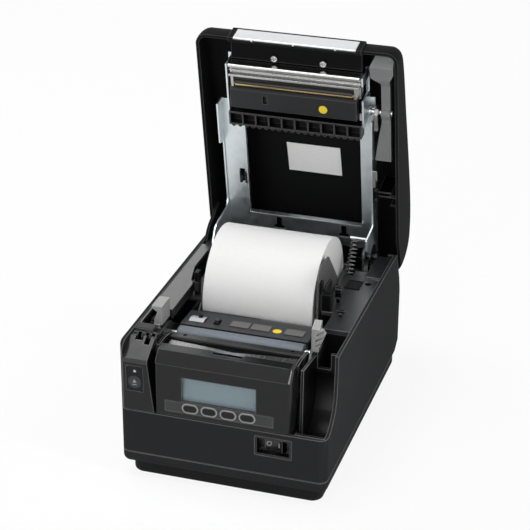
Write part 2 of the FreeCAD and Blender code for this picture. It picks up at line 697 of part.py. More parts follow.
def paper_sensor():
    lens = across(outline("yz", (65.8, 86.0), (74.8, 86.0), (74.8, 91.0), (70.0, 92.2), (65.8, 91.6)),
                  -46.0, -34.6)
    probe = across(outline("yz", (66.0, 86.0), (73.0, 86.0), (71.4, 93.4), (68.0, 93.8)), -27.6, -24.4)
    return group([lens, probe])


def cutter_frame():
    """Cutter carrier in front of the platen: a trough with end cheeks, open along the paper slot."""
    trough = outline("yz", (19.0, 72.0), (19.0, 92.4), (21.0, 92.4), (21.0, 89.8), (44.6, 89.8),
                     (44.6, 80.0),
                     (40.0, 74.0), (36.0, 72.0))
    body = across(trough, -50.0, 45.0)
    motor_room = box(-51, 28.0, 22.5, 40.0, 71.0, 86.5)
    cheeks = [across(outline("yz", (19.0, 72.0), (19.0, 96.0), (30.0, 96.0), (44.6, 93.6),
                             (44.6, 80.0), (36.0, 72.0)),
                     x0, x1) for x0, x1 in ((-52.0, -50.0), (45.0, 47.0))]
    return cut(fused(body, *cheeks), motor_room)


def fixed_blade():
    """Steel blade with a straight edge towards the front, screwed to the cutter carrier's rear rail."""
    blade = across(outline("yz", (38.4, 92.2), (39.6, 91.8), (44.4, 91.8), (44.4, 93.0),
                           (39.0, 93.0)), -49.6, 44.6)
    return cut(blade, rod_z(-40.0, 42.4, 1.3, 90, 95), rod_z(36.0, 42.4, 1.3, 90, 95))


def moving_blade():
    """V-edged steel blade that slides back under the fixed blade."""
    plate = upward(outline("xy", (-48.0, 23.0), (43.0, 23.0), (43.0, 36.6), (20.0, 34.4),
                           (-2.5, 31.6), (-25.0, 34.4),
                           (-48.0, 36.6)), 90.2, 91.3)
    return cut(plate, box(-20.0, 15.0, 25.5, 28.5, 90, 92))


def cutter_motor():
    body = rounded_box(-20.0, 6.0, 23.5, 39.0, 73.0, 86.0, 3.0, AXIS_X)
    return fused(body, rod_x(31.0, 79.5, 3.0, 6.0, 10.0))


def left_bracket():
    """Black stepped bracket behind the feed panel, toothed in front, on a lug beside the side plate."""
    block = across(outline("yz", (20.0, 90.0), (20.0, 99.0), (22.0, 101.6), (25.2, 101.6),
                           (25.2, 99.8), (34.0, 99.8),
                           (34.0, 96.0), (38.4, 96.0), (38.4, 90.0)), -69.4, -52.6)
    lug = box(LEFT_PLATE_X[0] - 2.0, LEFT_PLATE_X[0], 31.0, 38.4, 72.0, 91.0)
    bites = [box(x, x + 2.6, 19.0, 23.4, 90, 110) for x in (-66.0, -60.6, -56.4)]
    return cut(fused(block, lug), *bites)


def left_guide_post():
    """Grey post over the platen gear that steers the cover: a waisted block on a leg."""
    front = outline("xz", (-61.2, 99.2), (-61.2, 103.1), (-58.9, 109.0), (-62.8, 111.6), (-62.8, 113.2),
                    (-55.6, 113.2), (-55.6, 99.2))
    leg = box(-61.2, -57.2, 38.4, 40.4, 91.0, 100.0)
    return fused(inward(front, 39.6, 55.0), leg)


def right_guide_post():
    """Light-grey post on the right side plate: a tower with a sloped top and a slotted wing."""
    tower = across(outline("yz", (46.6, 93.0), (46.6, 109.8), (54.6, 113.2), (54.6, 93.0)), 48.0, 53.2)
    wing = inward(outline("xz", (52.6, 95.0), (54.4, 98.6), (57.4, 106.4), (55.0, 109.4),
                          (52.6, 109.4)), 46.6, 50.6)
    slots = []
    for step in range(3):
        z = 96.4 + 3.8 * step
        slots.append(inward(outline("xz", (50.8, z), (58.0, z + 4.8), (58.0, z + 6.4),
                                    (50.8, z + 1.6)), 40.0, 48.8))
    return cut(fused(tower, wing), *slots)


# Electronics and rear


def circuit_boards():
    """Main board on the floor and the two small boards behind the front panels."""
    main = box(-62.0, 62.0, 14.0, 186.0, 22.5, 24.1)
    main = cut(main, *[rod_z(x, y, 5.0, 20, 26) for x, y in PILLAR_SPOTS])
    display = cut(box(-42.0, 41.0, 7.8, 9.4, 57.0, 88.5),
                  *[rod_y(x, z, 1.5, 7, 10) for x in (-39.0, 38.0) for z in (60.0, 86.0)])
    feed = box(-68.4, -55.2, 9.2, 10.8, 60.0, 90.0)
    return group([main, display, feed])


def interface_plate():
    """Plate set back in the rear wall with cut-outs for the sockets."""
    plate = box(-53.0, 53.0, 186.6, 188.0, 25.8, 50.0)
    return cut(plate,
               box(-9.4, 3.6, 180, 190, 20.0, 41.8),
               box(13.6, 28.4, 180, 190, 20.0, 43.4),
               rod_y(-34.0, 36.0, 7.0, 180, 190),
               rod_y(-48.5, 36.0, 1.8, 180, 190),
               rod_y(46.0, 36.0, 1.8, 180, 190))


def rear_sockets():
    """Square data socket, six-way drawer socket and round three-pin power inlet on the main board."""
    data = cut(box(-9.0, 3.2, 172.0, 190.0, 24.1, 41.4), box(-7.4, 1.6, 176.0, 191.0, 31.6, 39.8))
    data = fused(data, box(-5.6, -0.2, 175.0, 186.0, 34.4, 37.0))
    drawer = cut(box(14.0, 28.0, 172.0, 189.4, 24.1, 43.0),
                 box(15.8, 26.2, 178.0, 191.0, 31.6, 39.0), box(18.6, 23.4, 178.0, 191.0, 38.0, 41.6))
    barrel = cut(rod_y(-34.0, 36.0, 6.7, 178.0, 190.0), rod_y(-34.0, 36.0, 5.2, 180.0, 191.0))
    block = box(-41.0, -27.0, 168.0, 178.0, 24.1, 43.0)
    pins = []
    for degrees in (0, 120, 240):
        a = math.radians(degrees)
        pins.append(rod_y(-34.0 + 2.6 * math.sin(a), 36.0 + 2.6 * math.cos(a), 0.7, 179.0, 187.0))
    return group([data, drawer, fused(barrel, block, *pins)])


def case_screws():
    """Screws under the base and two thumb screws on the rear plate."""
    screws = [rod_z(x, y, 2.8, FOOT_H - 0.2, FOOT_H + 1.2) for x, y in BASE_SCREW_SPOTS]
    for x in (-48.5, 46.0):
        knob = cut(rod_y(x, 36.0, 3.4, 188.0, 193.0), box(x - 4, x + 4, 192.0, 194.0, 35.6, 36.4))
        screws.append(fused(knob, rod_y(x, 36.0, 1.7, 182.0, 188.0)))
    return group(screws)


# Coil spring


def arc_from(start, tangent, end):
    """Arc edge that leaves start along a tangent and reaches end."""
    chord = end - start
    along = Vector(chord).normalize()
    side = tangent - along * tangent.dot(along)
    angle = math.acos(max(-1.0, min(1.0, tangent.dot(along))))
    middle = (start + end) * 0.5 + side.normalize() * (chord.Length / 2.0 * math.tan(angle / 2.0))
    return Part.Arc(start, middle, end).toShape()


def biarc(start, start_dir, end, end_dir):
    """Two arcs that meet smoothly between two points with given directions."""
    gap = end - start
    both = start_dir + end_dir
    spread = 2.0 * (1.0 - start_dir.dot(end_dir))
    reach = (-gap.dot(both) + math.sqrt(gap.dot(both) ** 2 + spread * gap.dot(gap))) / spread
    joint = (start + start_dir * reach + end - end_dir * reach) * 0.5
    first = arc_from(start, start_dir, joint)
    last_back = arc_from(end, end_dir * -1.0, joint)
    return [first, last_back]


def spring_point(turn):
    """Point and direction on the spring's helix after a number of turns."""
    foot = Vector(SPRING_X, *SPRING_FOOT)
    head = Vector(SPRING_X, *SPRING_HEAD)
    axis = (head - foot)
    rise = axis * (1.0 / SPRING_TURNS)
    up = Vector(axis).normalize()
    right = AXIS_X
    back = up.cross(right)
    angle = 2 * math.pi * turn
    point = foot + rise * turn + (right * math.cos(angle) + back * math.sin(angle)) * SPRING_R
    direction = rise + (back * math.cos(angle) - right * math.sin(angle)) * (2 * math.pi * SPRING_R)
    return point, direction.normalize()


def cover_spring():
    """Compression spring that helps to lift the cover: one unbroken wire."""
    edges = []
    for quarter in range(4 * SPRING_TURNS):
        start, start_dir = spring_point(quarter / 4.0)
        end, end_dir = spring_point((quarter + 1) / 4.0)
        edges += biarc(start, start_dir, end, end_dir)
    path = Part.Wire(Part.__sortEdges__(edges))
    point, direction = spring_point(0.0)
    ring = Part.Wire(Part.makeCircle(SPRING_WIRE_R, point, direction))
    return path.makePipeShell([ring], True, False)


def spring_clearance():
    """Least gap between neighbouring turns, measured on points of the helix."""
    steps = 24
    points = [spring_point(i / steps)[0] for i in range(steps * 3)]
    gaps = [points[i].distanceToPoint(points[j])
            for i in range(len(points)) for j in range(i + steps // 2, len(points))]
    return min(gaps) - 2 * SPRING_WIRE_R


# Cover, drawn closed


CROWN = ((20.0, 103.5), (20.3, 112.0), (24.4, 121.4), (37.0, 127.2), (70.0, 132.6), (105.0, 138.2),
         (140.0, 143.3), (165.0, 145.6), (186.0, 144.0), (201.0, 137.4), (207.6, 126.0), (208.6, 110.4))
COVER_REAR_Y = 208.6
COVER_ROUND_R = 8.0


def cover_profile(inset):
    """Side view of the cover: short front, top rising to a crown over the hinge, raised rear edge."""
    span = COVER_REAR_Y - COVER_FRONT_Y
    shrink = (span - 2 * inset) / span
    points = [Vector(0, COVER_FRONT_Y + inset + (y - COVER_FRONT_Y) * shrink, z - inset) for y,
              z in CROWN]
    crown = Part.BSplineCurve()
    crown.interpolate(Points=points)
    rim = Part.makePolygon([points[-1], Vector(0, 175.0, COVER_RIM_Z - inset), points[0]])
    return Part.Face(Part.Wire([crown.toShape()] + list(rim.Edges)))


def cover_block(inset):
    """Solid of the cover's outside, or of the hollow inside it, with rounded long edges."""
    half = COVER_HALF_W - inset
    block = across(cover_profile(inset), -half, half)
    crown = [e for e in block.Edges if abs(abs(e.CenterOfMass.x) - half) < 0.01 and e.CenterOfMass.z > 115.0]
    return block.makeFillet(COVER_ROUND_R - inset, crown)


def cover_shell():
    inner_w = COVER_HALF_W - COVER_WALL
    body = cut(cover_block(0), cover_block(COVER_WALL))
    drop = across(outline("yz", (COVER_FRONT_Y, 100.4), (COVER_FRONT_Y, 106.0),
                          (COVER_FRONT_Y + COVER_WALL, 106.0),
                          (COVER_FRONT_Y + COVER_WALL, 101.4)), -48.0, 48.0)
    ribs = [box(66.0, inner_w + 0.6, y, y + 1.6, 106.0, 134.0) for y in (138.0, 146.0)]
    posts = [rod_z(x, y, 3.4, 108.2, 124.0) for x, y in HEAD_SCREW_SPOTS]
    cap = across(outline("yz", (COVER_FRONT_Y - 1.6, 100.4), (COVER_FRONT_Y - 1.6, 114.6),
                         (COVER_FRONT_Y + 0.5, 116.6), (COVER_FRONT_Y + 0.5, 100.4)), 44.2, 48.0)
    lip = across(outline("yz", (COVER_FRONT_Y - 1.6, 113.4), (COVER_FRONT_Y - 1.6, 114.6),
                         (COVER_FRONT_Y + 0.5, 116.6), (COVER_FRONT_Y + 0.5, 113.4)), -44.4, 44.4)
    ear = across(outline("yz", (168.5, 105.0), (171.7, 98.0), ((174.0, 87.4), (181.5, 79.0)),
                         (187.0, 80.6),
                         (196.0, 92.0), (200.0, 108.0), (200.0, 112.0), (168.5, 112.0)), -69.7, -67.7)
    ear_root = box(-inner_w - 0.4, -69.5, 170.0, 200.0, 109.8, 112.0)
    return fused(body, drop, cap, mirrored_x(cap), lip, ear, ear_root, *ribs, *posts)


def front_strip():
    face_y = COVER_FRONT_Y - 1.6
    strip = box(-44.0, 44.0, face_y, face_y + 1.2, 100.6, 113.2)
    strip = rounded(strip, 0.5, AXIS_X, lambda p: p.y < face_y + 0.1)
    pegs = [box(x - 0.6, x + 0.6, face_y + 0.2, face_y + 1.0, 98.9, 100.8) for x in (-30.0, 0.0, 30.0)]
    return fused(strip, *pegs)


def cover_frame():
    """Folded steel frame: two arms with flanges, a slotted crossbar and round hinge ears."""
    left0, left1 = COVER_ARM_LEFT_X
    right0, right1 = COVER_ARM_RIGHT_X
    ear_r = 8.0
    ear = (((HINGE_Y + 8.6, 108.0), (HINGE_Y + ear_r, HINGE_Z)),
           ((HINGE_Y, HINGE_Z - ear_r), (HINGE_Y - ear_r, HINGE_Z)))
    left_wall = outline("yz", (77.0, 104.8), (77.0, 115.0), (194.0, 115.0), ear[0], (188.0, 84.0),
                        ((181.6, 73.2), (174.0, 77.0)), ((169.4, 81.4), (168.3, 87.0)), (168.3, 106.4),
                        ((166.6, 110.8), (162.0, 112.6)), (113.0, 112.6), (110.0, 104.8))
    right_wall = outline("yz", (77.0, 104.0), (77.0, 115.0), (194.0, 115.0), *ear, (174.0, 101.6),
                         (110.0, 101.6))
    flange_z = (115.0 - SHEET, 115.0)
    left = fused(across(left_wall, left0, left1), box(left0, -43.4, 77.0, 178.0, *flange_z),
                 box(-43.4 - SHEET, -43.4, 86.0, 178.0, 112.2, 115.0))
    right = fused(across(right_wall, right0, right1), box(42.4, right1, 77.0, 178.0, *flange_z))
    crossbar = box(left0, right1, 172.0, 194.0, *flange_z)
    lip = box(-43.4, 42.4, 172.0, 172.0 + SHEET, 111.0, 115.0)
    front_left = box(-53.0, HEAD_X[0], 38.0, 78.0, *flange_z)
    front_right = fused(box(HEAD_X[1], 50.0, 38.0, 78.0, *flange_z),
                        box(49.0, 54.0, 62.0, 78.0, *flange_z))
    cheeks = [box(x0, x1, 38.0, 78.0, 97.0, 115.0) for x0, x1 in ((-49.9, -48.7), (48.7, 49.9))]
    post_window = box(48.0, 50.4, 44.6, 56.2, 90.0, 113.8)
    lobe = across(outline("yz", (186.0, 96.0), (172.6, 82.0), (164.4, 82.6), (164.4, 104.0),
                          (186.0, 104.0)),
                  right0, right1)
    frame = fused(left, right, crossbar, lip, front_left, front_right, lobe, spring_tab(), *cheeks)
    holes = [rod_x(HINGE_Y, HINGE_Z, PIN_R + RUNNING_GAP, left0 - 1, left1 + 1),
             rod_x(HINGE_Y, HINGE_Z, PIN_R + RUNNING_GAP, right0 - 1, right1 + 1)]
    holes += [box(x - 2.0, x + 2.0, 176.0, 186.0, 110, 120) for x in (-22.0, 28.0)]
    holes += [box(x - 4.0, x + 4.0, 183.0, 186.0, 110, 120) for x in (-22.0, 28.0)]
    holes += [box(-50.6, -46.4, 136.0, 142.0, 110, 120), post_window]
    holes.append(rod_x(LEVER_PIVOT_Y, LEVER_PIVOT_Z, LEVER_ROD_R + RUNNING_GAP, 48.0, 50.5))
    return cut(frame, *holes)


HEAD_X = (-HEAD_HALF_W, HEAD_HALF_W)


def spring_tab():
    """Tab bent from the cover's right arm that the coil spring pushes against."""
    y, z = SPRING_HEAD
    tab = box(SPRING_X - 3.4, COVER_ARM_RIGHT_X[1], y - 3.5, y + 3.5, z + 1.2, z + 1.2 + SHEET)
    tab.rotate(Vector(0, y, z), AXIS_X, -SPRING_LEAN)
    tab.rotate(Vector(0, HINGE_Y, HINGE_Z), AXIS_X, COVER_OPEN_DEG)
    return tab


def head_holder():
    """Black carrier between the cover's front wall and the head, with holes for its two screws."""
    plate = across(outline("yz", (24.0, 106.0), (36.6, 104.0), (36.6, 108.2), (24.0, 108.2)), *HEAD_X)
    back = box(HEAD_X[0] + 1.4, HEAD_X[1] - 1.4, 36.0, 60.0, 106.2, 108.2)
    return cut(fused(plate, back), *[rod_z(x, y, 1.6, 100, 110) for x, y in HEAD_SCREW_SPOTS])


def head_bracket():
    """Bright bracket of the head: a rounded front bar, a thin rib and a frame round the print head."""
    section = outline("yz", (37.2, 95.4), (37.2, 106.2), (56.0, 106.2), (56.0, 99.8), (46.4, 99.8),
                      (46.4, 95.2),
                      (44.8, 95.2), (44.8, 99.8), (43.2, 99.8), (43.2, 97.8), (42.2, 97.8),
                      (42.2, 99.8), (40.0, 99.8),
                      (40.0, 95.4))
    bars = rounded(across(section, *HEAD_X), 1.2, AXIS_X, lambda p: p.z < 95.5 and p.y < 41.0)
    ends = [box(x0, x1, 46.0, 54.4, 95.2, 100.0) for x0, x1 in ((-45.4, -43.8), (43.8, 45.4))]
    return fused(bars, *ends)


def print_head():
    """Ceramic strip with the raised heater line that faces the platen."""
    strip = box(-HEATER_HALF_W - 1.2, HEATER_HALF_W + 1.2, 46.5, 54.4, 96.4, 99.8)
    glaze = rod_x(PLATEN_Y, 97.2, 97.2 - HEAD_Z, -HEATER_HALF_W, HEATER_HALF_W)
    return fused(strip, glaze.common(box(-60, 60, 40, 60, HEAD_Z - 1, 97.0)))


def head_cover():
    """Black cover over the head's circuits, with a small notch and a stay up to the carrier."""
    x0, x1 = HEAD_X[0] + 0.8, HEAD_X[1] - 2.0
    body = across(outline("yz", (54.7, 96.4), (56.4, 94.4), (70.6, 94.0), (72.0, 95.4), (72.0, 99.4),
                          (54.7, 99.4)), x0, x1)
    body = cut(body, box(-22.6, -19.6, 59.4, 65.6, 90.0, 97.0))
    return fused(body, box(x0, x1, 56.2, 58.0, 99.0, 106.2))


COMB_CELLS = 10


def comb_guide():
    """Ribbed paper guide: a row of open cells with round tongues along its rear edge."""
    x0, x1 = -48.7, 48.7
    pitch = (x1 - x0 - 1.1) / COMB_CELLS
    bars = [box(x0, x1, y, y + 1.2, 94.4, 101.0) for y in (75.0, 84.4)]
    ribs = [box(x0 + cell * pitch, x0 + cell * pitch + 1.1, 75.0, 85.6, 94.4,
                101.0) for cell in range(COMB_CELLS + 1)]
    tongues = []
    for step in range(2 * COMB_CELLS):
        x = x0 + 0.55 + (step + 0.5) * pitch / 2.0
        plan = outline("xy", (x - 1.5, 85.0), (x + 1.5, 85.0), (x + 1.5, 86.0),
                       ((x, 87.5), (x - 1.5, 86.0)))
        tongues.append(upward(plan, 95.2, 99.0))
    back = box(x0, x1, 75.0, 85.6, 100.4, 102.2)
    return fused(back, *bars, *ribs, *tongues)


def cover_screws():
    """Screws that hold the head carrier; their heads face the platen."""
    screws = []
    for x, y in HEAD_SCREW_SPOTS:
        head = rod_z(x, y, 2.5, 102.0, 103.9)
        head = head.makeFillet(0.7, [e for e in head.Edges if abs(e.CenterOfMass.z - 102.0) < 0.01])
        cross = [box(x - 1.6, x + 1.6, y - 0.4, y + 0.4, 101, 103.2),
                 box(x - 0.4, x + 0.4, y - 1.6, y + 1.6, 101, 103.2)]
        screws.append(fused(cut(head, *cross), rod_z(x, y, 1.5, 103.8, 108.0)))
    return group(screws)


HEAD_SCREW_SPOTS = ((-15.4, 33.4), (20.0, 33.4))


LABEL_X = (-21.0, 20.0)
LABEL_Y = (124.5, 151.0)


def roof_height(y):
    """Height of the cover's inner roof at a distance from the front."""
    line = Part.makeLine(Vector(0, y, COVER_RIM_Z), Vector(0, y, 160.0))
    return line.common(cover_profile(COVER_WALL)).BoundBox.ZMax


def cover_label():
    """Blank label on the inside of the cover's top, following its slope."""
    ys = [LABEL_Y[0] + (LABEL_Y[1] - LABEL_Y[0]) * step / 4.0 for step in range(5)]
    upper = [(y, roof_height(y) - 0.02) for y in ys]
    lower = [(y, z - 0.25) for y, z in reversed(upper)]
    return across(outline("yz", *upper, *lower), *LABEL_X)


def release_lever():
    """Grey lever: a broad hooded handle that narrows to an arm, a hub on the rod and a tail plate."""
    plan = outline("xy", (56.4, 24.8), (67.6, 24.8), (69.6, 27.0), (69.6, 37.0), (66.6, 43.0),
                   (66.6, 110.0), (54.8, 110.0),
                   (57.6, 92.0), (60.2, 77.0), (60.2, 45.4), (53.6, 40.4), (53.2, 31.0))
    side = outline("yz", (24.8, 107.4), (24.8, 110.0), ((28.0, 112.2), (33.0, 112.6)), (45.0, 111.4),
                   (77.0, 111.4),
                   (77.0, 110.6), (110.0, 110.6), (110.0, 107.4), (77.0, 107.4), (77.0, 106.8),
                   (48.0, 106.8), (42.0, 103.6),
                   (31.6, 102.4))
    body = upward(plan, 95.0, 120.0).common(across(side, 50.0, 72.0))
    body = fused(body, rod_x(LEVER_PIVOT_Y, LEVER_PIVOT_Z, 4.4, 60.2, 66.6))
    return cut(body, rod_x(LEVER_PIVOT_Y, LEVER_PIVOT_Z, LEVER_ROD_R, 50.0, 70.0))


def latch_rod():
    """Steel rod of the lever with its collar, end cap and the flat hook beside the cover's arm."""
    y, z = LEVER_PIVOT_Y, LEVER_PIVOT_Z
    rod = rod_x(y, z, LEVER_ROD_R, 48.2, 67.4)
    cap = rod_x(y, z, 2.8, 66.6, 67.8)
    collar = rod_x(y, z, 3.2, 51.0, 52.4)
    side = outline("yz", (y - 4.0, z + 3.6), (y + 4.6, z + 3.6), (y + 4.6, z - 4.0), (y + 12.0, z - 4.0),
                   (y + 12.0, z - 6.4), (y - 1.0, z - 6.4), (y - 4.0, z - 3.0))
    return fused(rod, cap, collar, across(side, 55.6, 58.2))


# Assembly


FIXED = {
    "base_tray": base_tray, "rubber_feet": rubber_feet, "case_screws": case_screws,
    "lower_case": lower_case, "upper_case": upper_case,
    "left_deck": left_deck, "right_deck": right_deck, "deck_clips": deck_clips,
    "finger_recess": finger_recess,
    "display_panel": display_panel, "display_window": display_window, "display_module": display_module,
    "key_strip": key_strip, "feed_panel": feed_panel, "feed_key": feed_key, "status_light": status_light,
    "switch_housing": switch_housing, "power_rocker": power_rocker,
    "chassis_frame": chassis_frame, "hinge_pins": hinge_pins, "platen_bearings": platen_bearings,
    "platen_shaft": platen_shaft, "platen_roller": platen_roller, "platen_gear": platen_gear,
    "idler_gear": idler_gear, "motor_pinion": motor_pinion, "feed_motor": feed_motor,
    "paper_hopper": paper_hopper, "paper_roll": paper_roll, "paper_core": paper_core,
    "guide_plate": guide_plate, "paper_sensor": paper_sensor,
    "cutter_frame": cutter_frame, "fixed_blade": fixed_blade, "moving_blade": moving_blade,
    "cutter_motor": cutter_motor, "left_bracket": left_bracket,
    "left_guide_post": left_guide_post, "right_guide_post": right_guide_post,
    "circuit_boards": circuit_boards, "interface_plate": interface_plate, "rear_sockets": rear_sockets,
    "cover_spring": cover_spring,
}

ON_COVER = {
    "cover_shell": cover_shell, "front_strip": front_strip, "cover_frame": cover_frame,
    "head_holder": head_holder, "head_bracket": head_bracket, "print_head": print_head,
    "head_cover": head_cover, "comb_guide": comb_guide, "cover_screws": cover_screws,
    "cover_label": cover_label,
    "release_lever": release_lever, "latch_rod": latch_rod,
}


def opened(shape):
    """Piece of the closed cover swung to the open position."""
    swung = shape.copy()
    swung.rotate(Vector(0, HINGE_Y, HINGE_Z), AXIS_X, -COVER_OPEN_DEG)
    return swung


def finished_pieces():
    """Every piece in its resting place, by name."""
    pieces = {name: make() for name, make in FIXED.items()}
    for number, x in enumerate(KEY_X, start=1):
        pieces["panel_key_%d" % number] = panel_key(x)
    for name, make in ON_COVER.items():
        pieces[name] = opened(make())
    return {name: shape.translated(Vector(0, -ORIGIN_Y, 0)) for name, shape in pieces.items()}


def main():
    os.makedirs("parts", exist_ok=True)
    for name, shape in finished_pieces().items():
        shape.exportStep("parts/%s.step" % name)
    print("spring: least gap between turns %.2f mm" % spring_clearance())


main()
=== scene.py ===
"""Finishes a receipt printer that stands open on a pale studio floor.

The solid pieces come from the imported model. This add-on gives every one of them its finish, adds the
small printed and moulded details, and sets the light and the camera.
"""

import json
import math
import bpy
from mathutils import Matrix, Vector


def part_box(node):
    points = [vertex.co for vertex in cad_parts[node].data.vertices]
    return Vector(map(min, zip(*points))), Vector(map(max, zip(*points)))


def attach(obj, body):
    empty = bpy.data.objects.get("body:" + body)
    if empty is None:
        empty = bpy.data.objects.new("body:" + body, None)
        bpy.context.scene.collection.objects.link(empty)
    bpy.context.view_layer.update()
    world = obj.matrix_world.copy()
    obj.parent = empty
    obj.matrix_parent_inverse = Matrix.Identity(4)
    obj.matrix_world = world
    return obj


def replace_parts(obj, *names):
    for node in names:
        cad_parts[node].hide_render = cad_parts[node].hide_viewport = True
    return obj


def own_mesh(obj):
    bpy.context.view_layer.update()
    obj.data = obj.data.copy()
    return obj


bl_info = {
    "name": "Receipt Printer Finish",
    "version": (1, 0, 0),
    "blender": (4, 5, 0),
    "location": "View3D > Sidebar > Printer",
    "description": "Finishes a receipt printer with its cover open and sets it on a studio floor",
    "category": "Object",
}

import bmesh
import bpy
from bpy.props import FloatProperty, FloatVectorProperty, PointerProperty
from mathutils import Matrix, Vector

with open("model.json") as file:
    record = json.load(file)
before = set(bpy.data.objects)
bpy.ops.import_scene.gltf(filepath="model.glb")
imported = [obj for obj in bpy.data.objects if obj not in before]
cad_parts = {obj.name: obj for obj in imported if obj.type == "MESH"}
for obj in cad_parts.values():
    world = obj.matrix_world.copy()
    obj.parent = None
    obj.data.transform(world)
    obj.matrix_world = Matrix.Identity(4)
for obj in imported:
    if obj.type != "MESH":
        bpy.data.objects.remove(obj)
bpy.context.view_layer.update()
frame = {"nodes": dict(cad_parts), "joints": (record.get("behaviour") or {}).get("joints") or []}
NODES = frame["nodes"]
HINGE = next(joint for joint in frame["joints"] if joint["name"] == "cover_hinge")
KEY_NUMBERS = range(1, 5)
MM = 0.001
FRONT_Y = -0.1164

# Places and radii on the solids, in the millimetres that spot takes

ROCKER = (36.0, 9.5, 42.1)
ROCKER_HOLLOW_R = 10.92
ROCKER_HOLLOW_Y = -5.52
HEAD_MARKER = (21.4, 64.6, 94.18)
GUIDE_MARKER = (17.2, 69.4, 91.32)
HEATER_LINE = (0.0, 52.3, 96.0)
SPRING_FOOT = (44.2, 143.5, 76.5)
SPRING_HEAD = (44.2, 173.5, 117.0)

# Sizes of the solids that finishes and details follow

GUIDE_SLOPE = 1.6 / 24.2
GUIDE_HEIGHT = 10.0 * MM
FEED_PAD_Z = 75.6 * MM
FEED_PAD_R = 4.5 * MM
HOPPER_BRACKET = 1.4 * MM

# Sizes of the details

EAR_BLACK_R = 9.0 * MM
KEY_RIM = (11.6 * MM, 7.2 * MM)
MARK_HEIGHT = 0.15 * MM
FEED_MARK_HEIGHT = 0.12 * MM
SPRING_R = 2.6 * MM
SPRING_WIRE_R = 0.6 * MM
SPRING_TURNS = 17
SPRING_TURN_STEPS = 24

# Angles, in radians

ROCKER_TILT = math.radians(-7.0)
SHARP_ANGLE = 0.8

# Depth of the relief on a surface, in metres

POLISHED_GRAIN = 0.000004
SMOOTH_GRAIN = 0.000006
DRAWN_LINES = 0.000008
FINE_GRAIN = 0.00001
ROLLED_LINES = 0.000012
SATIN_GRAIN = 0.00002
MOULD_GRAIN = 0.00003
COARSE_GRAIN = 0.00004
RUBBER_GRAIN = 0.00006

# Stretch of the fine lines on drawn metal

ALONG_X = (0.02, 1.0, 1.0)
ALONG_Y = (1.0, 0.05, 1.0)
EVEN = (1.0, 1.0, 1.0)

# Stage

CAMERA_PLACE = (0.330193, -1.083344, 0.672831)
CAMERA_YAW_PITCH_ROLL = (17.2602, 26.1203, 0.2757)
SENSOR_WIDTH = 36.0
FLOOR_SIZE = 6.0
FLOOR_GLOW = 0.88
SOFT_LIGHT = 0.46
WHITE = (1.0, 1.0, 1.0, 1.0)


# Settings


def colour_setting(label, description, value):
    return FloatVectorProperty(name=label, description=description, subtype="COLOR", size=3, min=0.0, max=1.0,
                               default=value)


def length_setting(label, description, value):
    return FloatProperty(name=label, description=description, unit="LENGTH", subtype="DISTANCE",
                         default=value)


class PrinterColours(bpy.types.PropertyGroup):
    """Colours of the printer's finishes."""

    case: colour_setting("Case", "Grained black of the case and the cover", (0.0225, 0.0229, 0.0240))
    panel: colour_setting("Panel", "Smoother black of the display and feed panels", (0.0065, 0.0068, 0.0074))
    deck: colour_setting("Deck", "Satin dark grey of the decks beside the roll", (0.016, 0.0165, 0.018))
    inner: colour_setting("Inner", "Black of the moulded parts of the mechanism", (0.0030, 0.0031, 0.0034))
    lever: colour_setting("Lever", "Grey of the release lever", (0.190, 0.192, 0.195))
    post: colour_setting("Posts", "Paler grey of the two guide posts", (0.300, 0.300, 0.296))
    steel: colour_setting("Steel", "Zinc-plated sheet of the frames", (0.760, 0.815, 0.835))
    bright: colour_setting("Bright metal", "Head bracket, rods and screws", (0.460, 0.460, 0.455))
    strip: colour_setting("Front strip", "Silver strip on the cover's front edge", (0.640, 0.645, 0.650))
    rubber: colour_setting("Platen", "Blue-grey ground rubber of the platen", (0.120, 0.140, 0.165))
    paper: colour_setting("Paper", "White of the paper roll", (0.780, 0.780, 0.776))
    display: colour_setting("Display", "Unlit field of the character display", (0.070, 0.136, 0.162))
    key_rim: colour_setting("Key rim", "Pale ring round each oval key", (0.300, 0.300, 0.300))
    pad: colour_setting("Pads", "Grey wear pads on the paper guide", (0.110, 0.108, 0.105))
    marker: colour_setting("Marker", "Plain yellow touch points", (0.800, 0.580, 0.020))
    heater: colour_setting("Heater", "Gold of the heater line", (0.620, 0.440, 0.200))
    enamel: colour_setting("Motors", "Black enamel of the two motors", (0.030, 0.030, 0.032))
    core: colour_setting("Core", "Brown board of the roll's core", (0.320, 0.250, 0.170))
    label: colour_setting("Label", "White of the blank label in the cover", (0.950, 0.950, 0.940))


class PrinterSizes(bpy.types.PropertyGroup):
    """Sizes of the details that are added to the solid pieces."""

    edge: length_setting("Edge", "Radius that moulded edges seem to have", 0.0006)
    sheet_edge: length_setting("Sheet edge", "Radius that sheet-metal edges seem to have", 0.0003)
    # Reach of the paled outer edges, which are painted highlight as well as handling wear
    wear: length_setting("Edge wear", "How far the paler edge of moulded parts reaches in", 0.0007)
    rim_width: length_setting("Key rim width", "Width of the ring round a key", 0.0009)
    rim_height: length_setting("Key rim height", "How far the ring stands out", 0.0004)
    marker: length_setting("Marker", "Diameter of a yellow touch point", 0.0062)
    camera_lens: FloatProperty(name="Lens", description="Focal length on a 36 mm sensor, in millimetres",
                               default=121.66)


def colours():
    return bpy.context.scene.printer_colours


def sizes():
    return bpy.context.scene.printer_sizes


# Material helpers


def shaded(colour, factor):
    """Colour lightened or darkened by a factor."""
    return tuple(channel * factor for channel in colour)


def tone(colour, factor=1.0):
    """Colour with alpha, lightened or darkened by a factor."""
    return tuple(min(1.0, channel) for channel in shaded(colour[:3], factor)) + (1.0,)


def grey(level):
    return (level, level, level, 1.0)


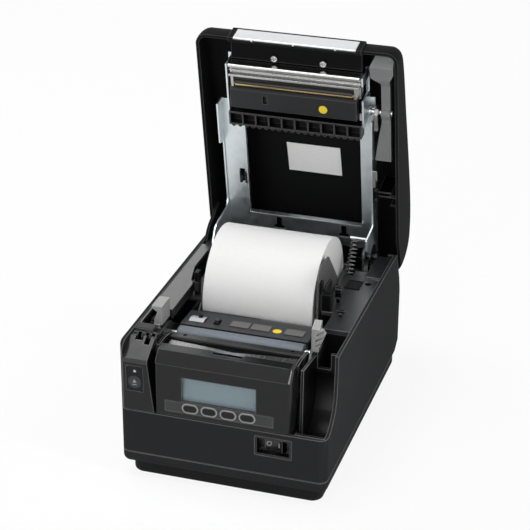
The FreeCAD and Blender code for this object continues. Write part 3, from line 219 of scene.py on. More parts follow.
class NodeTree:
    """Node tree that is built from nothing, with a value or a link on each socket."""

    def __init__(self, tree):
        self.tree = tree
        self.tree.nodes.clear()

    def add(self, kind, sockets=(), **settings):
        node = self.tree.nodes.new("ShaderNode" + kind)
        for name, value in settings.items():
            setattr(node, name, value)
        for name, value in dict(sockets).items():
            self.feed(node.inputs[name], value)
        return node

    def feed(self, socket, value):
        if isinstance(value, bpy.types.NodeSocket):
            self.tree.links.new(value, socket)
        else:
            socket.default_value = value

    def spread(self, factor, low, high, start=0.0, end=1.0):
        """Carries a factor from start and end over to low and high."""
        sockets = {"Value": factor, "From Min": start, "From Max": end, "To Min": low, "To Max": high}
        return self.add("MapRange", sockets).outputs[0]

    def math(self, operation, first, second=0.0):
        return self.add("Math", {0: first, 1: second}, operation=operation).outputs[0]

    def seen(self):
        """One for rays from the camera, a reflection or a clear window, and nought for the rest."""
        path = self.add("LightPath").outputs
        direct = self.math("MAXIMUM", path["Is Camera Ray"], path["Is Glossy Ray"])
        return self.math("MAXIMUM", direct, path["Is Transmission Ray"])


class Finish(NodeTree):
    """One node material that reads Object coordinates and ends in a Principled shader."""

    def __init__(self, name):
        self.material = bpy.data.materials.new(name)
        self.material.use_nodes = True
        super().__init__(self.material.node_tree)
        self.shader = self.add("BsdfPrincipled")
        self.output = self.add("OutputMaterial", {"Surface": self.shader.outputs[0]})
        self.place = self.add("TexCoord").outputs["Object"]

    def moved(self, offset=(0, 0, 0), stretch=(1, 1, 1)):
        """Object coordinates about a point, stretched along the axes."""
        shifted = self.add("VectorMath", {0: self.place, 1: offset}, operation="SUBTRACT").outputs[0]
        return self.add("VectorMath", {0: shifted, 1: stretch}, operation="MULTIPLY").outputs[0]

    def length(self, place):
        return self.add("VectorMath", {0: place}, operation="LENGTH").outputs["Value"]

    def noise(self, scale, detail=2.0, place=None):
        sockets = {"Vector": place or self.place, "Scale": scale, "Detail": detail}
        return self.add("TexNoise", sockets).outputs["Fac"]

    def cells(self, scale, place=None):
        sockets = {"Vector": place or self.place, "Scale": scale}
        return self.add("TexVoronoi", sockets).outputs["Distance"]

    def between(self, factor, first, second):
        """Colour that goes from the first to the second."""
        mix = self.add("Mix", data_type="RGBA")
        self.feed(mix.inputs[0], factor)
        self.feed(mix.inputs[6], first)
        self.feed(mix.inputs[7], second)
        return mix.outputs[2]

    def rounded(self, radius):
        return self.add("Bevel", {"Radius": radius}, samples=6).outputs[0]

    def worn(self, reach):
        """One along outer edges, paled as painted highlight and as handling wear, and nought elsewhere."""
        inward = self.add("AmbientOcclusion", {"Distance": reach}, inside=True, only_local=True, samples=6)
        return self.spread(inward.outputs["AO"], 1.0, 0.0, 0.55, 0.92)

    def relief(self, height, depth, edge):
        """Normal with softened edges and a fine surface relief."""
        sockets = {"Height": height, "Distance": depth, "Strength": 1.0, "Normal": self.rounded(edge)}
        return self.add("Bump", sockets).outputs[0]

    def shade(self, sockets):
        for name, value in sockets.items():
            self.feed(self.shader.inputs[name], value)
        return self.material


def moulded(name, colour, roughness, grain=MOULD_GRAIN, shine=0.14, wear=0.06):
    """Moulded plastic with a fine spark-eroded grain, faint clouding, and outer edges paled as painted
    highlight and handling wear.
    """
    f = Finish(name)
    cloud = f.noise(160.0, 3.0)
    speck = f.noise(2000.0, 2.0)
    body = f.between(cloud, tone(colour, 0.94), tone(colour, 1.06))
    # Paler outer edges: painted highlight along every outer edge, as well as handling wear
    paled = tuple(channel * 1.2 + wear for channel in colour)
    return f.shade({
        "Base Color": f.between(f.worn(sizes().wear), body, tone(paled)),
        "Roughness": f.spread(cloud, roughness - 0.02, roughness + 0.02, 0.3, 0.7),
        "Specular IOR Level": shine,
        "Normal": f.relief(speck, grain, sizes().edge),
    })


def plated_sheet(name, colour, roughness, ears=0.0):
    """Zinc-plated sheet: soft spangle, faint rolling lines, and black within a radius of the hinge axis."""
    f = Finish(name)
    spangle = f.cells(160.0)
    rolling = f.noise(900.0, 3.0, f.moved(stretch=(1.0, 0.06, 0.06)))
    worn = f.math("ADD", f.math("MULTIPLY", spangle, 0.5), f.math("MULTIPLY", rolling, 0.5))
    reach = f.length(f.moved(HINGE["pos_m"], (0.0, 1.0, 1.0)))
    past_ears = f.spread(reach, 0.0, 1.0, ears, ears + 0.2 * MM)
    zinc = f.between(worn, tone(colour, 0.90), tone(colour, 1.10))
    return f.shade({
        "Base Color": f.between(past_ears, grey(0.006), zinc),
        "Metallic": past_ears,
        "Roughness": f.spread(worn, roughness - 0.06, roughness + 0.08, 0.25, 0.75),
        "Normal": f.relief(rolling, ROLLED_LINES, sizes().sheet_edge),
    })


def drawn_metal(name, colour, roughness, stretch=ALONG_X):
    """Bright drawn or ground metal with fine lines along one direction."""
    f = Finish(name)
    lines = f.noise(2200.0, 2.0, f.moved(stretch=stretch))
    return f.shade({
        "Base Color": f.between(lines, tone(colour, 0.92), tone(colour, 1.06)),
        "Metallic": 1.0,
        "Roughness": f.spread(lines, roughness - 0.04, roughness + 0.08, 0.3, 0.7),
        "Normal": f.relief(lines, DRAWN_LINES, sizes().sheet_edge),
    })


def printed(name, colour, roughness):
    """Printed or painted mark with a slightly uneven coat."""
    f = Finish(name)
    coat = f.noise(700.0, 2.0)
    return f.shade({
        "Base Color": f.between(coat, tone(colour, 0.94), tone(colour, 1.04)),
        "Roughness": f.spread(coat, roughness - 0.05, roughness + 0.05),
        "Normal": f.relief(coat, FINE_GRAIN, sizes().sheet_edge),
    })


def dress(material, *names):
    """Gives CAD nodes a finish."""
    for name in names:
        for slot in NODES[name].material_slots:
            slot.material = material


# Mesh helpers


def spot(x, y, z):
    """Point given in millimetres from the middle of the case, its front face and the table."""
    return Vector((x * MM, y * MM + FRONT_Y, z * MM))


def corners(node):
    """Lowest and highest corner of a CAD node's box."""
    return tuple(Vector(corner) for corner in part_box(node))


def middle_of(node):
    """Middle of a CAD node's box."""
    low, high = corners(node)
    return (low + high) / 2


def cover_place():
    """Turn from the closed cover, in which details are laid out, to the open cover."""
    pivot = Vector(HINGE["pos_m"])
    turn = Matrix.Rotation(-math.radians(HINGE["range_deg"][1]), 4, Vector(HINGE["axis"]))
    return Matrix.Translation(pivot) @ turn @ Matrix.Translation(-pivot)


def turned(bm, angle, axis, centre=(0, 0, 0)):
    bmesh.ops.rotate(bm, verts=bm.verts[:], cent=centre, matrix=Matrix.Rotation(angle, 3, axis))


def moved_to(bm, place):
    bmesh.ops.translate(bm, verts=bm.verts[:], vec=place)


def on_open_cover(bm):
    """Swings a detail that was laid out on the closed cover."""
    bmesh.ops.transform(bm, matrix=cover_place(), verts=bm.verts[:])


def linked(name, bm, material):
    """Turns a bmesh into an object in the scene."""
    mesh = bpy.data.meshes.new(name)
    bm.to_mesh(mesh)
    bm.free()
    mesh.materials.append(material)
    made = bpy.data.objects.new(name, mesh)
    bpy.context.scene.collection.objects.link(made)
    return made


def finish_piece(name, bm, material, body):
    """Turns a bmesh into a piece that rides on a body."""
    bmesh.ops.recalc_face_normals(bm, faces=bm.faces[:])
    piece = linked(name, bm, material)
    piece.data.shade_flat()
    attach(piece, body)
    return piece


def stand_up(bm, place):
    """Turns a shape drawn flat on XY so that its top faces the front, and moves it to its place."""
    turned(bm, math.pi / 2, "X")
    moved_to(bm, place)


def soften(bm, width, segments=2):
    """Rounds the sharp edges of a small shape."""
    sharp = [edge for edge in bm.edges if len(edge.link_faces) == 2 and edge.calc_face_angle() > SHARP_ANGLE]
    bmesh.ops.bevel(bm, geom=sharp, offset=width, offset_type="OFFSET", segments=segments, profile=0.5,
                    affect="EDGES", material=-1)


def thicken(bm, thickness):
    """Raises every face of a flat shape into a slab."""
    raised = bmesh.ops.extrude_face_region(bm, geom=bm.faces[:])["geom"]
    top = [part for part in raised if isinstance(part, bmesh.types.BMVert)]
    bmesh.ops.translate(bm, verts=top, vec=(0, 0, thickness))


def flat_disc(radius, thickness, segments=40):
    bm = bmesh.new()
    bmesh.ops.create_circle(bm, cap_ends=True, segments=segments, radius=radius)
    thicken(bm, thickness)
    return bm


def flat_ring(width, height, rim, thickness, segments=40):
    """Oval ring with round ends on XY: an outline with its middle taken out."""
    bm = bmesh.new()
    bmesh.ops.create_circle(bm, cap_ends=True, segments=segments, radius=height / 2)
    turned(bm, math.pi / segments, "Z")
    for side in (-1, 1):
        half = [vert for vert in bm.verts if vert.co.x * side > 0]
        bmesh.ops.translate(bm, verts=half, vec=(side * (width - height) / 2, 0, 0))
    middle = bm.faces[:]
    bmesh.ops.inset_region(bm, faces=middle, thickness=rim, use_boundary=True, use_even_offset=True)
    bmesh.ops.delete(bm, geom=middle, context="FACES")
    thicken(bm, thickness)
    soften(bm, min(rim, thickness) * 0.3)
    return bm


def block(size, middle):
    """Size and middle of a block that is given in the millimetres that spot takes."""
    return tuple(length * MM for length in size), spot(*middle)


def blocks(parts, rounding):
    """Small blocks with softened edges, each given by its size and its middle."""
    bm = bmesh.new()
    for size, place in parts:
        stretch = Matrix.Diagonal(Vector(size).to_4d())
        bmesh.ops.create_cube(bm, size=1.0, matrix=Matrix.Translation(place) @ stretch)
    soften(bm, rounding)
    return bm


# Pieces


class PRINTER_OT_case(bpy.types.Operator):
    """Finish the case, the base, the decks and the finger recess"""

    bl_idname = "printer.case"
    bl_label = "Case"

    def execute(self, context):
        c = colours()
        # Paler outer edges on these finishes are painted highlight as well as handling wear
        dress(moulded("case_grain", c.case, 0.74, shine=0.015, wear=0.14), "upper_case", "lower_case")
        dress(moulded("base_grain", shaded(c.case, 0.6), 0.68, COARSE_GRAIN, shine=0.06), "base_tray")
        dress(moulded("deck_satin", c.deck, 0.30, SATIN_GRAIN, shine=0.80), "left_deck", "right_deck")
        dress(moulded("inner_black", c.inner, 0.28, FINE_GRAIN, shine=0.30, wear=0.10), "left_bracket")
        dress(moulded("recess_black", c.inner, 0.34, FINE_GRAIN, shine=0.18, wear=0.20), "finger_recess")
        dress(moulded("housing_black", c.inner, 0.28, FINE_GRAIN, shine=0.30, wear=0.03), "switch_housing")
        dress(self.hopper_finish(c), "paper_hopper")
        dress(moulded("foot_rubber", c.inner, 0.80, RUBBER_GRAIN, shine=0.1), "rubber_feet")
        return {"FINISHED"}

    def hopper_finish(self, c):
        """Black hopper whose right cheek is dark grey behind its black bracket."""
        f = Finish("hopper_grey")
        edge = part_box("paper_hopper")[1].x
        side = f.add("SeparateXYZ", {0: f.place}).outputs["X"]
        cheek = f.math("GREATER_THAN", side, 0.0)
        bracket = f.math("GREATER_THAN", side, edge - HOPPER_BRACKET)
        speck = f.noise(1800.0, 2.0)
        body = f.between(cheek, tone(c.inner, 4.0), f.between(speck, grey(0.078), grey(0.092)))
        # Paler edges of the bracket: painted highlight as well as handling wear
        edged = f.between(f.worn(sizes().wear), tone(c.inner), grey(0.10))
        return f.shade({
            "Base Color": f.between(bracket, body, edged),
            "Roughness": f.spread(speck, 0.38, 0.48),
            "Specular IOR Level": 0.3,
            "Normal": f.relief(speck, SATIN_GRAIN, sizes().edge),
        })


class PRINTER_OT_front(bpy.types.Operator):
    """Finish the display panel, the keys, the feed panel and the switch"""

    bl_idname = "printer.front"
    bl_label = "Front"

    def execute(self, context):
        c = colours()
        dress(moulded("panel_smooth", c.panel, 0.24, SMOOTH_GRAIN, shine=0.27, wear=0.10),
              "display_panel", "feed_panel")
        dress(moulded("key_strip_grey", shaded(c.panel, 2.3), 0.36, FINE_GRAIN), "key_strip")
        keys = ["panel_key_%d" % number for number in KEY_NUMBERS]
        dress(moulded("key_dark", shaded(c.panel, 1.9), 0.34, FINE_GRAIN), *keys)
        dress(self.feed_key_finish(c), "feed_key")
        dress(moulded("rocker_black", shaded(c.panel, 1.5), 0.22, POLISHED_GRAIN, shine=0.4), "power_rocker")
        dress(self.display_field(c), "display_module")
        dress(self.clear_window(), "display_window")
        dress(self.light_lens(), "status_light")
        return {"FINISHED"}

    def feed_key_finish(self, c):
        """Dark key with a paler round pad."""
        f = Finish("feed_key_dark")
        radius = f.length(f.moved((middle_of("feed_key").x, 0, FEED_PAD_Z), (1.0, 0.0, 1.0)))
        pad = f.spread(radius, 1.0, 0.0, FEED_PAD_R, FEED_PAD_R + 0.2 * MM)
        cloud = f.noise(900.0, 2.0)
        body = f.between(cloud, tone(c.panel, 1.5), tone(c.panel, 1.9))
        return f.shade({
            "Base Color": f.between(pad, body, tone(c.panel, 6.8)),
            "Roughness": f.spread(cloud, 0.30, 0.38),
            "Specular IOR Level": 0.14,
            "Normal": f.relief(cloud, FINE_GRAIN, sizes().sheet_edge),
        })

    def display_field(self, c):
        """Unlit character cells, seen faintly on the pale field."""
        f = Finish("display_cells")
        low, high = corners("display_window")
        cells_across = 20.0
        cells_upright = 2.6
        cell = ((high.x - low.x) / cells_across, 1.0, (high.z - low.z) / cells_upright)
        middle = middle_of("display_window")
        place = f.moved((middle.x, 0, middle.z), tuple(1.0 / size for size in cell))
        split = f.add("SeparateXYZ", {0: place})
        across = f.math("PINGPONG", split.outputs["X"], 0.5)
        upright = f.math("PINGPONG", split.outputs["Z"], 0.5)
        in_column = f.math("GREATER_THAN", across, 0.07)
        in_row = f.math("GREATER_THAN", upright, 0.09)
        inside = f.math("MULTIPLY", in_column, in_row)
        cloud = f.noise(30.0, 2.0)
        field = f.between(cloud, tone(c.display, 0.94), tone(c.display, 1.05))
        return f.shade({
            "Base Color": f.between(f.math("MULTIPLY", inside, 0.10), field, tone(c.display, 0.72)),
            "Roughness": 0.22,
            "Specular IOR Level": 0.4,
            "Normal": f.rounded(sizes().sheet_edge),
        })

    def clear_window(self):
        """Clear plastic with a faint smear."""
        f = Finish("window_clear")
        smear = f.noise(120.0, 3.0)
        return f.shade({
            "Base Color": (0.75, 0.85, 0.88, 1.0),
            "Roughness": f.spread(smear, 0.03, 0.09),
            "Alpha": 0.10,
            "Normal": f.rounded(sizes().sheet_edge),
        })

    def light_lens(self):
        """Milky lens of the unlit status light."""
        f = Finish("light_lens")
        haze = f.noise(900.0, 2.0)
        return f.shade({
            "Base Color": f.between(haze, (0.62, 0.64, 0.60, 1.0), (0.75, 0.76, 0.72, 1.0)),
            "Roughness": f.spread(haze, 0.12, 0.22),
            "Subsurface Weight": 0.2,
        })


class PRINTER_OT_marks(bpy.types.Operator):
    """Add the pale key rims, the marks on the switch and the feed key, and the yellow touch points"""

    bl_idname = "printer.marks"
    bl_label = "Marks"

    def execute(self, context):
        c = colours()
        pale = printed("mark_pale", c.key_rim, 0.35)
        self.key_rims(pale)
        self.switch_marks(pale)
        self.feed_arrow(pale)
        self.touch_points(printed("marker_yellow", c.marker, 0.45))
        return {"FINISHED"}

    def key_rims(self, material):
        """Pale oval ring on the strip round each key."""
        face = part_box("key_strip")[0].y
        for number in KEY_NUMBERS:
            middle = middle_of("panel_key_%d" % number)
            bm = flat_ring(*KEY_RIM, sizes().rim_width, sizes().rim_height)
            stand_up(bm, (middle.x, face, middle.z))
            finish_piece("key_rim_%d" % number, bm, material, "case")

    def switch_marks(self, material):
        """Ring on the pressed half of the rocker and bar on the raised half, each square to the hollow."""
        ring = flat_ring(3.8 * MM, 3.8 * MM, 0.75 * MM, MARK_HEIGHT)
        bar = blocks([((0.9 * MM, 3.4 * MM, MARK_HEIGHT), (0, 0, 0.07 * MM))], 0.05 * MM)
        pivot = spot(*ROCKER)
        for name, bm, across in (("rocker_ring", ring, -3.7), ("rocker_bar", bar, 3.5)):
            deep = math.sqrt(ROCKER_HOLLOW_R ** 2 - across ** 2) + ROCKER_HOLLOW_Y
            stand_up(bm, (0, 0, 0))
            turned(bm, math.asin(-across / ROCKER_HOLLOW_R), "Z")
            moved_to(bm, spot(ROCKER[0] + across, deep, ROCKER[2]))
            turned(bm, ROCKER_TILT, "Z", pivot)
            finish_piece(name, bm, material, "rocker")

    def feed_arrow(self, material):
        """Small triangle over a bar on the round pad of the feed key."""
        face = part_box("feed_key")[0].y
        middle = middle_of("feed_key").x
        arrow = flat_disc(1.7 * MM, FEED_MARK_HEIGHT, 3)
        stand_up(arrow, (middle, face + 0.02 * MM, FEED_PAD_Z + 0.4 * MM))
        finish_piece("feed_arrow", arrow, material, "feed_button")
        size = (3.0 * MM, FEED_MARK_HEIGHT, 0.6 * MM)
        bar = blocks([(size, (middle, face - 0.04 * MM, FEED_PAD_Z - 2.0 * MM))], 0.03 * MM)
        finish_piece("feed_bar", bar, material, "feed_button")

    def touch_points(self, material):
        """Plain round points on the head cover and on the paper guide."""
        radius = sizes().marker / 2
        on_head = flat_disc(radius, MARK_HEIGHT)
        turned(on_head, math.pi, "X")
        moved_to(on_head, spot(*HEAD_MARKER))
        on_open_cover(on_head)
        finish_piece("marker_head", on_head, material, "cover")
        on_guide = flat_disc(radius, MARK_HEIGHT)
        turned(on_guide, -math.atan(GUIDE_SLOPE), "X")
        moved_to(on_guide, spot(*GUIDE_MARKER))
        finish_piece("marker_guide", on_guide, material, "case")


class PRINTER_OT_mechanism(bpy.types.Operator):
    """Finish the chassis, the platen, the gears, the cutter and the posts"""

    bl_idname = "printer.mechanism"
    bl_label = "Mechanism"

    def execute(self, context):
        c = colours()
        dark = shaded(c.bright, 0.10)
        # The chassis sheet is the frames' zinc darkened to a fifth: painted shade for a frame deep inside the
        # case
        dress(plated_sheet("chassis_zinc_shaded", shaded(c.steel, 0.20), 0.50), "chassis_frame", "interface_plate")
        # The cutter frame's paled edges are painted highlight as well as handling wear
        dress(moulded("cutter_black", shaded(c.inner, 2.0), 0.26, POLISHED_GRAIN, wear=0.20), "cutter_frame")
        dress(drawn_metal("rod_bright", c.bright, 0.22), "platen_shaft", "case_screws")
        dress(drawn_metal("pin_dark", dark, 0.34), "hinge_pins")
        dress(drawn_metal("blade_dark", dark, 0.30, ALONG_Y), "fixed_blade")
        dress(drawn_metal("blade_ground", shaded(c.bright, 0.50), 0.22, ALONG_Y), "moving_blade")
        dress(self.platen_rubber(c), "platen_roller")
        dress(moulded("gear_black", shaded(c.inner, 3.0), 0.40, FINE_GRAIN, shine=0.3),
              "platen_gear", "idler_gear", "motor_pinion", "platen_bearings")
        dress(moulded("motor_enamel", c.enamel, 0.35, FINE_GRAIN), "feed_motor", "cutter_motor")
        dress(self.guide_finish(c), "guide_plate")
        dress(self.sensor_finish(c), "paper_sensor")
        dress(moulded("post_pale", c.post, 0.48, shine=0.3), "left_guide_post", "right_guide_post")
        dress(self.board_green(), "circuit_boards")
        dress(moulded("socket_black", c.inner, 0.40, FINE_GRAIN), "rear_sockets")
        return {"FINISHED"}

    def platen_rubber(self, c):
        """Ground rubber: fine rings round the roller."""
        f = Finish("platen_rubber")
        rings = f.noise(1600.0, 2.0, f.moved(stretch=(1.0, 0.03, 0.03)))
        return f.shade({
            "Base Color": f.between(rings, tone(c.rubber, 0.85), tone(c.rubber, 1.15)),
            "Roughness": f.spread(rings, 0.46, 0.60),
            "Specular IOR Level": 0.45,
            "Normal": f.relief(rings, FINE_GRAIN, sizes().sheet_edge),
        })

    def guide_finish(self, c):
        """Dark guide whose raised pads, found by their height over the slope, are paler."""
        f = Finish("guide_black")
        low = corners("guide_plate")[0]
        split = f.add("SeparateXYZ", {0: f.moved((0.0, low.y, low.z))})
        fall = f.math("MULTIPLY", split.outputs["Y"], GUIDE_SLOPE)
        height = f.math("SUBTRACT", f.math("ADD", split.outputs["Z"], fall), GUIDE_HEIGHT)
        raised = f.spread(height, 0.0, 1.0, 0.25 * MM, 0.35 * MM)
        speck = f.noise(2000.0, 2.0)
        plate = f.between(speck, tone(c.inner, 7.5), tone(c.inner, 9.5))
        pads = f.between(speck, tone(c.pad, 0.9), tone(c.pad, 1.1))
        return f.shade({
            "Base Color": f.between(raised, plate, pads),
            "Roughness": f.spread(speck, 0.34, 0.46),
            "Specular IOR Level": 0.3,
            "Normal": f.relief(speck, FINE_GRAIN, sizes().sheet_edge),
        })

    def sensor_finish(self, c):
        """Milky lens on the left and black probe on the right."""
        f = Finish("sensor_lens")
        side = f.add("SeparateXYZ", {0: f.moved((middle_of("paper_sensor").x, 0, 0))}).outputs["X"]
        probe = f.math("GREATER_THAN", side, 0.0)
        haze = f.noise(500.0, 2.0)
        lens = f.between(haze, (0.42, 0.43, 0.44, 1.0), (0.52, 0.53, 0.54, 1.0))
        return f.shade({
            "Base Color": f.between(probe, lens, tone(c.inner)),
            "Roughness": f.spread(haze, 0.16, 0.26),
            "Specular IOR Level": 0.5,
            "Normal": f.rounded(sizes().sheet_edge),
        })

    def board_green(self):
        """Solder mask with pale tracks."""
        f = Finish("board_green")
        tracks = f.cells(260.0, f.moved(stretch=(1.0, 0.35, 1.0)))
        near = f.spread(tracks, 1.0, 0.0, 0.05, 0.12)
        return f.shade({
            "Base Color": f.between(near, (0.010, 0.065, 0.025, 1.0), (0.03, 0.14, 0.05, 1.0)),
            "Roughness": f.spread(tracks, 0.25, 0.40),
            "Normal": f.relief(near, SATIN_GRAIN, sizes().sheet_edge),
        })


class PRINTER_OT_paper(bpy.types.Operator):
    """Finish the paper roll and its core"""

    bl_idname = "printer.paper"
    bl_label = "Paper"

    def execute(self, context):
        c = colours()
        dress(self.wound_paper(c), "paper_roll")
        dress(moulded("core_board", c.core, 0.75), "paper_core")
        return {"FINISHED"}

    def wound_paper(self, c):
        """White paper: windings show as rings on the ends, and the face has a faint fibre."""
        f = Finish("paper_wound")
        radius = f.length(f.moved(tuple(middle_of("paper_roll")), (0.0, 1.0, 1.0)))
        turns = f.noise(1.0, 3.0, f.add("CombineXYZ", {0: f.math("MULTIPLY", radius, 2600.0)}).outputs[0])
        fibre = f.noise(420.0, 4.0, f.moved(stretch=(0.5, 1.0, 1.0)))
        tint = f.math("ADD", f.math("MULTIPLY", turns, 0.7), f.math("MULTIPLY", fibre, 0.3))
        return f.shade({
            "Base Color": f.between(tint, tone(c.paper, 0.90), tone(c.paper, 1.06)),
            "Roughness": f.spread(fibre, 0.55, 0.68),
            "Specular IOR Level": 0.3,
            "Normal": f.relief(tint, SATIN_GRAIN, sizes().edge),
        })


class PRINTER_OT_cover(bpy.types.Operator):
    """Finish the cover, its steel frame, the print head and the release lever"""

    bl_idname = "printer.cover"
    bl_label = "Cover"

    def execute(self, context):
        c = colours()
        # The cover's black is the case's black darkened: painted shade, for the inside of the open cover lies
        # in shade
        dress(moulded("cover_shaded_grain", shaded(c.case, 0.42), 0.74, shine=0.030), "cover_shell")
        dress(moulded("holder_black", c.inner, 0.34, SMOOTH_GRAIN, shine=0.06), "head_holder")
        dress(moulded("head_cover_black", shaded(c.inner, 5.0), 0.34, FINE_GRAIN, shine=0.3), "head_cover")
        dress(moulded("comb_black", c.inner, 0.30, FINE_GRAIN, shine=0.3, wear=0.10), "comb_guide")
        dress(plated_sheet("frame_zinc", c.steel, 0.36, EAR_BLACK_R), "cover_frame")
        dress(drawn_metal("head_bright", c.bright, 0.17), "head_bracket")
        dress(drawn_metal("screw_bright", c.bright, 0.24, EVEN), "cover_screws", "latch_rod")
        dress(drawn_metal("strip_silver", c.strip, 0.34), "front_strip")
        dress(self.heater(c), "print_head")
        dress(printed("label_white", c.label, 0.5), "cover_label")
        dress(moulded("lever_grey", c.lever, 0.46, shine=0.3), "release_lever")
        return {"FINISHED"}

    def heater(self, c):
        """Dark glazed ceramic with a gold line, found by its distance along the cover."""
        f = Finish("heater_glaze")
        along = (cover_place().to_3x3() @ Vector((0, 1, 0))).normalized()
        place = f.moved(tuple(cover_place() @ spot(*HEATER_LINE)))
        distance = f.add("VectorMath", {0: place, 1: tuple(along)}, operation="DOT_PRODUCT").outputs["Value"]
        gold = f.spread(f.math("ABSOLUTE", distance), 1.0, 0.0, 0.7 * MM, 0.9 * MM)
        flow = f.noise(300.0, 3.0, f.moved(stretch=(0.1, 1.0, 1.0)))
        line = f.between(flow, tone(c.heater, 0.7), tone(c.heater, 1.2))
        return f.shade({
            "Base Color": f.between(gold, (0.012, 0.011, 0.010, 1.0), line),
            "Roughness": f.spread(flow, 0.12, 0.24),
            "Metallic": f.math("MULTIPLY", gold, 0.8),
            "Specular IOR Level": 0.3,
            "Normal": f.relief(flow, FINE_GRAIN, sizes().sheet_edge),
        })


class PRINTER_OT_fittings(bpy.types.Operator):
    """Add the clips, hooks, stops and ribs, and the coil spring"""

    bl_idname = "printer.fittings"
    bl_label = "Fittings"

    def execute(self, context):
        c = colours()
        black = moulded("clip_black", c.inner, 0.36, FINE_GRAIN, shine=0.08, wear=0.03)
        self.arm_clips(black, drawn_metal("tab_bright", c.bright, 0.30, EVEN))
        # The ribs' strongly paled edges are painted highlight as well as handling wear
        self.cover_ribs(moulded("rib_black", c.inner, 0.40, FINE_GRAIN, shine=0.10, wear=0.25))
        self.deck_hooks(moulded("hook_black", c.inner, 0.36, FINE_GRAIN, shine=0.10, wear=0.12))
        # The slot's floor is near black and dull: painted shade for the slot's depth
        self.deck_slot(moulded("slot_painted_shade", shaded(c.inner, 0.5), 0.60, shine=0.02, wear=0.02))
        self.roll_stops(black)
        self.sensor_tooth(black)
        self.spring_guard(black)
        self.deck_trims(black)
        self.spring(drawn_metal("coil_steel", shaded(c.bright, 0.45), 0.24, EVEN))
        return {"FINISHED"}

    def arm_clips(self, material, bright):
        """Snap clip beside the left arm's window, and a steel tab and a cable clip on the right arm."""
        legs = [block((1.8, 9.2, 2.2), (x, 143.0, 113.2)) for x in (-49.4, -45.2)]
        bridge = block((5.0, 4.4, 1.8), (-47.3, 143.6, 113.2))
        hook = block((2.6, 1.6, 1.6), (-45.5, 139.4, 112.9))
        self.fitting("left_arm_clip", legs + [bridge, hook], material, "cover")
        jaw = block((4.4, 11.4, 2.6), (54.8, 136.6, 103.6))
        lugs = [block((2.4, 2.0, 4.0), (56.6, y, 104.0)) for y in (132.6, 140.6)]
        self.fitting("right_arm_clip", [jaw] + lugs, material, "cover", 0.5 * MM)
        root = block((3.6, 8.0, 1.2), (55.6, 120.0, 102.3))
        end = block((2.2, 7.0, 1.2), (54.9, 126.5, 102.3))
        self.fitting("right_arm_tab", [root, end], bright, "cover", slot="bright_steel")

    def cover_ribs(self, material):
        """Pair of thin ribs inside the right wall of the cover."""
        ribs = [block((14.6, 1.2, 22.0), (62.9, y, 123.0)) for y in (140.6, 144.0)]
        self.fitting("cover_ribs", ribs, material, "cover", 0.2 * MM)

    def deck_hooks(self, material):
        """Snap hooks on the right deck: a tall one with a nose and a short one with a broad head."""
        tall = [block((4.8, 2.6, 9.4), (49.8, 108.7, 107.7)),
                block((4.8, 1.8, 2.6), (49.8, 107.0, 109.4)),
                block((3.0, 2.4, 4.4), (49.8, 108.7, 101.7))]
        short = [block((5.4, 2.6, 2.8), (57.0, 88.2, 103.4)),
                 block((3.0, 2.2, 3.6), (57.0, 88.2, 101.0))]
        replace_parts(self.fitting("deck_hooks", tall + short, material, "case"), "deck_clips")

    def deck_slot(self, material):
        """Dull black floor in a low rim on the right deck, under the cable clip: painted shade in place of
        the depth of a slot.
        """
        floor = block((10.0, 12.0, 0.5), (53.4, 137.2, 99.8))
        sides = [block((0.8, 13.2, 1.0), (x, 137.2, 100.0)) for x in (48.4, 58.4)]
        ends = [block((10.8, 0.8, 1.0), (53.4, y, 100.0)) for y in (131.0, 143.4)]
        self.fitting("deck_slot", [floor] + sides + ends, material, "case", 0.15 * MM)

    def roll_stops(self, material):
        """Upright stops beside the roll: an L on the right deck and a hook on the hopper's left shelf."""
        right = [block((1.9, 5.2, 21.4), (41.05, 95.0, 110.4)), block((7.2, 5.2, 12.8), (45.0, 95.0, 106.0))]
        self.fitting("right_roll_stop", right, material, "case")
        left = [block((3.0, 6.0, 17.6), (-51.3, 101.0, 103.6)), block((4.4, 7.0, 7.0), (-52.1, 101.0, 101.5))]
        self.fitting("left_roll_stop", left, material, "case")

    def sensor_tooth(self, material):
        """Black feeler beside the sensor's lens."""
        tooth = block((3.0, 2.6, 3.4), (-39.2, 72.6, 92.0))
        self.fitting("sensor_tooth", [tooth], material, "case", 0.7 * MM)

    def spring_guard(self, material):
        """Black guard on the rear wall of the case, behind the coil spring."""
        plate = block((17.2, 1.6, 11.0), (43.0, 197.1, 87.0))
        foot = block((17.2, 2.8, 1.4), (43.0, 197.2, 82.4))
        ribs = [block((1.2, 2.6, 8.0), (x, 197.4, 86.0)) for x in (35.2, 50.8)]
        self.fitting("spring_guard", [plate, foot] + ribs, material, "case")

    def deck_trims(self, material):
        """Black sheet before the right deck's front wall, a painted shade for the well there, and black cap
        on the left deck's front bar.
        """
        # A thin black sheet that stands in for the shade in the well before the right deck
        shade_sheet = block((18.6, 0.7, 30.4), (60.2, 67.75, 81.6))
        self.fitting("right_deck_shade_sheet", [shade_sheet], material, "case", 0.2 * MM)
        cap = block((12.4, 7.6, 0.5), (-63.3, 29.4, 102.75))
        self.fitting("left_bar_cap", [cap], material, "case", 0.2 * MM)

    def fitting(self, name, parts, material, body, rounding=0.3 * MM, slot="black_plastic"):
        """Small part made of blocks, laid out on the closed cover where it rides on that."""
        bm = blocks(parts, rounding)
        if body == "cover":
            on_open_cover(bm)
        return finish_piece(name, bm, material, body)

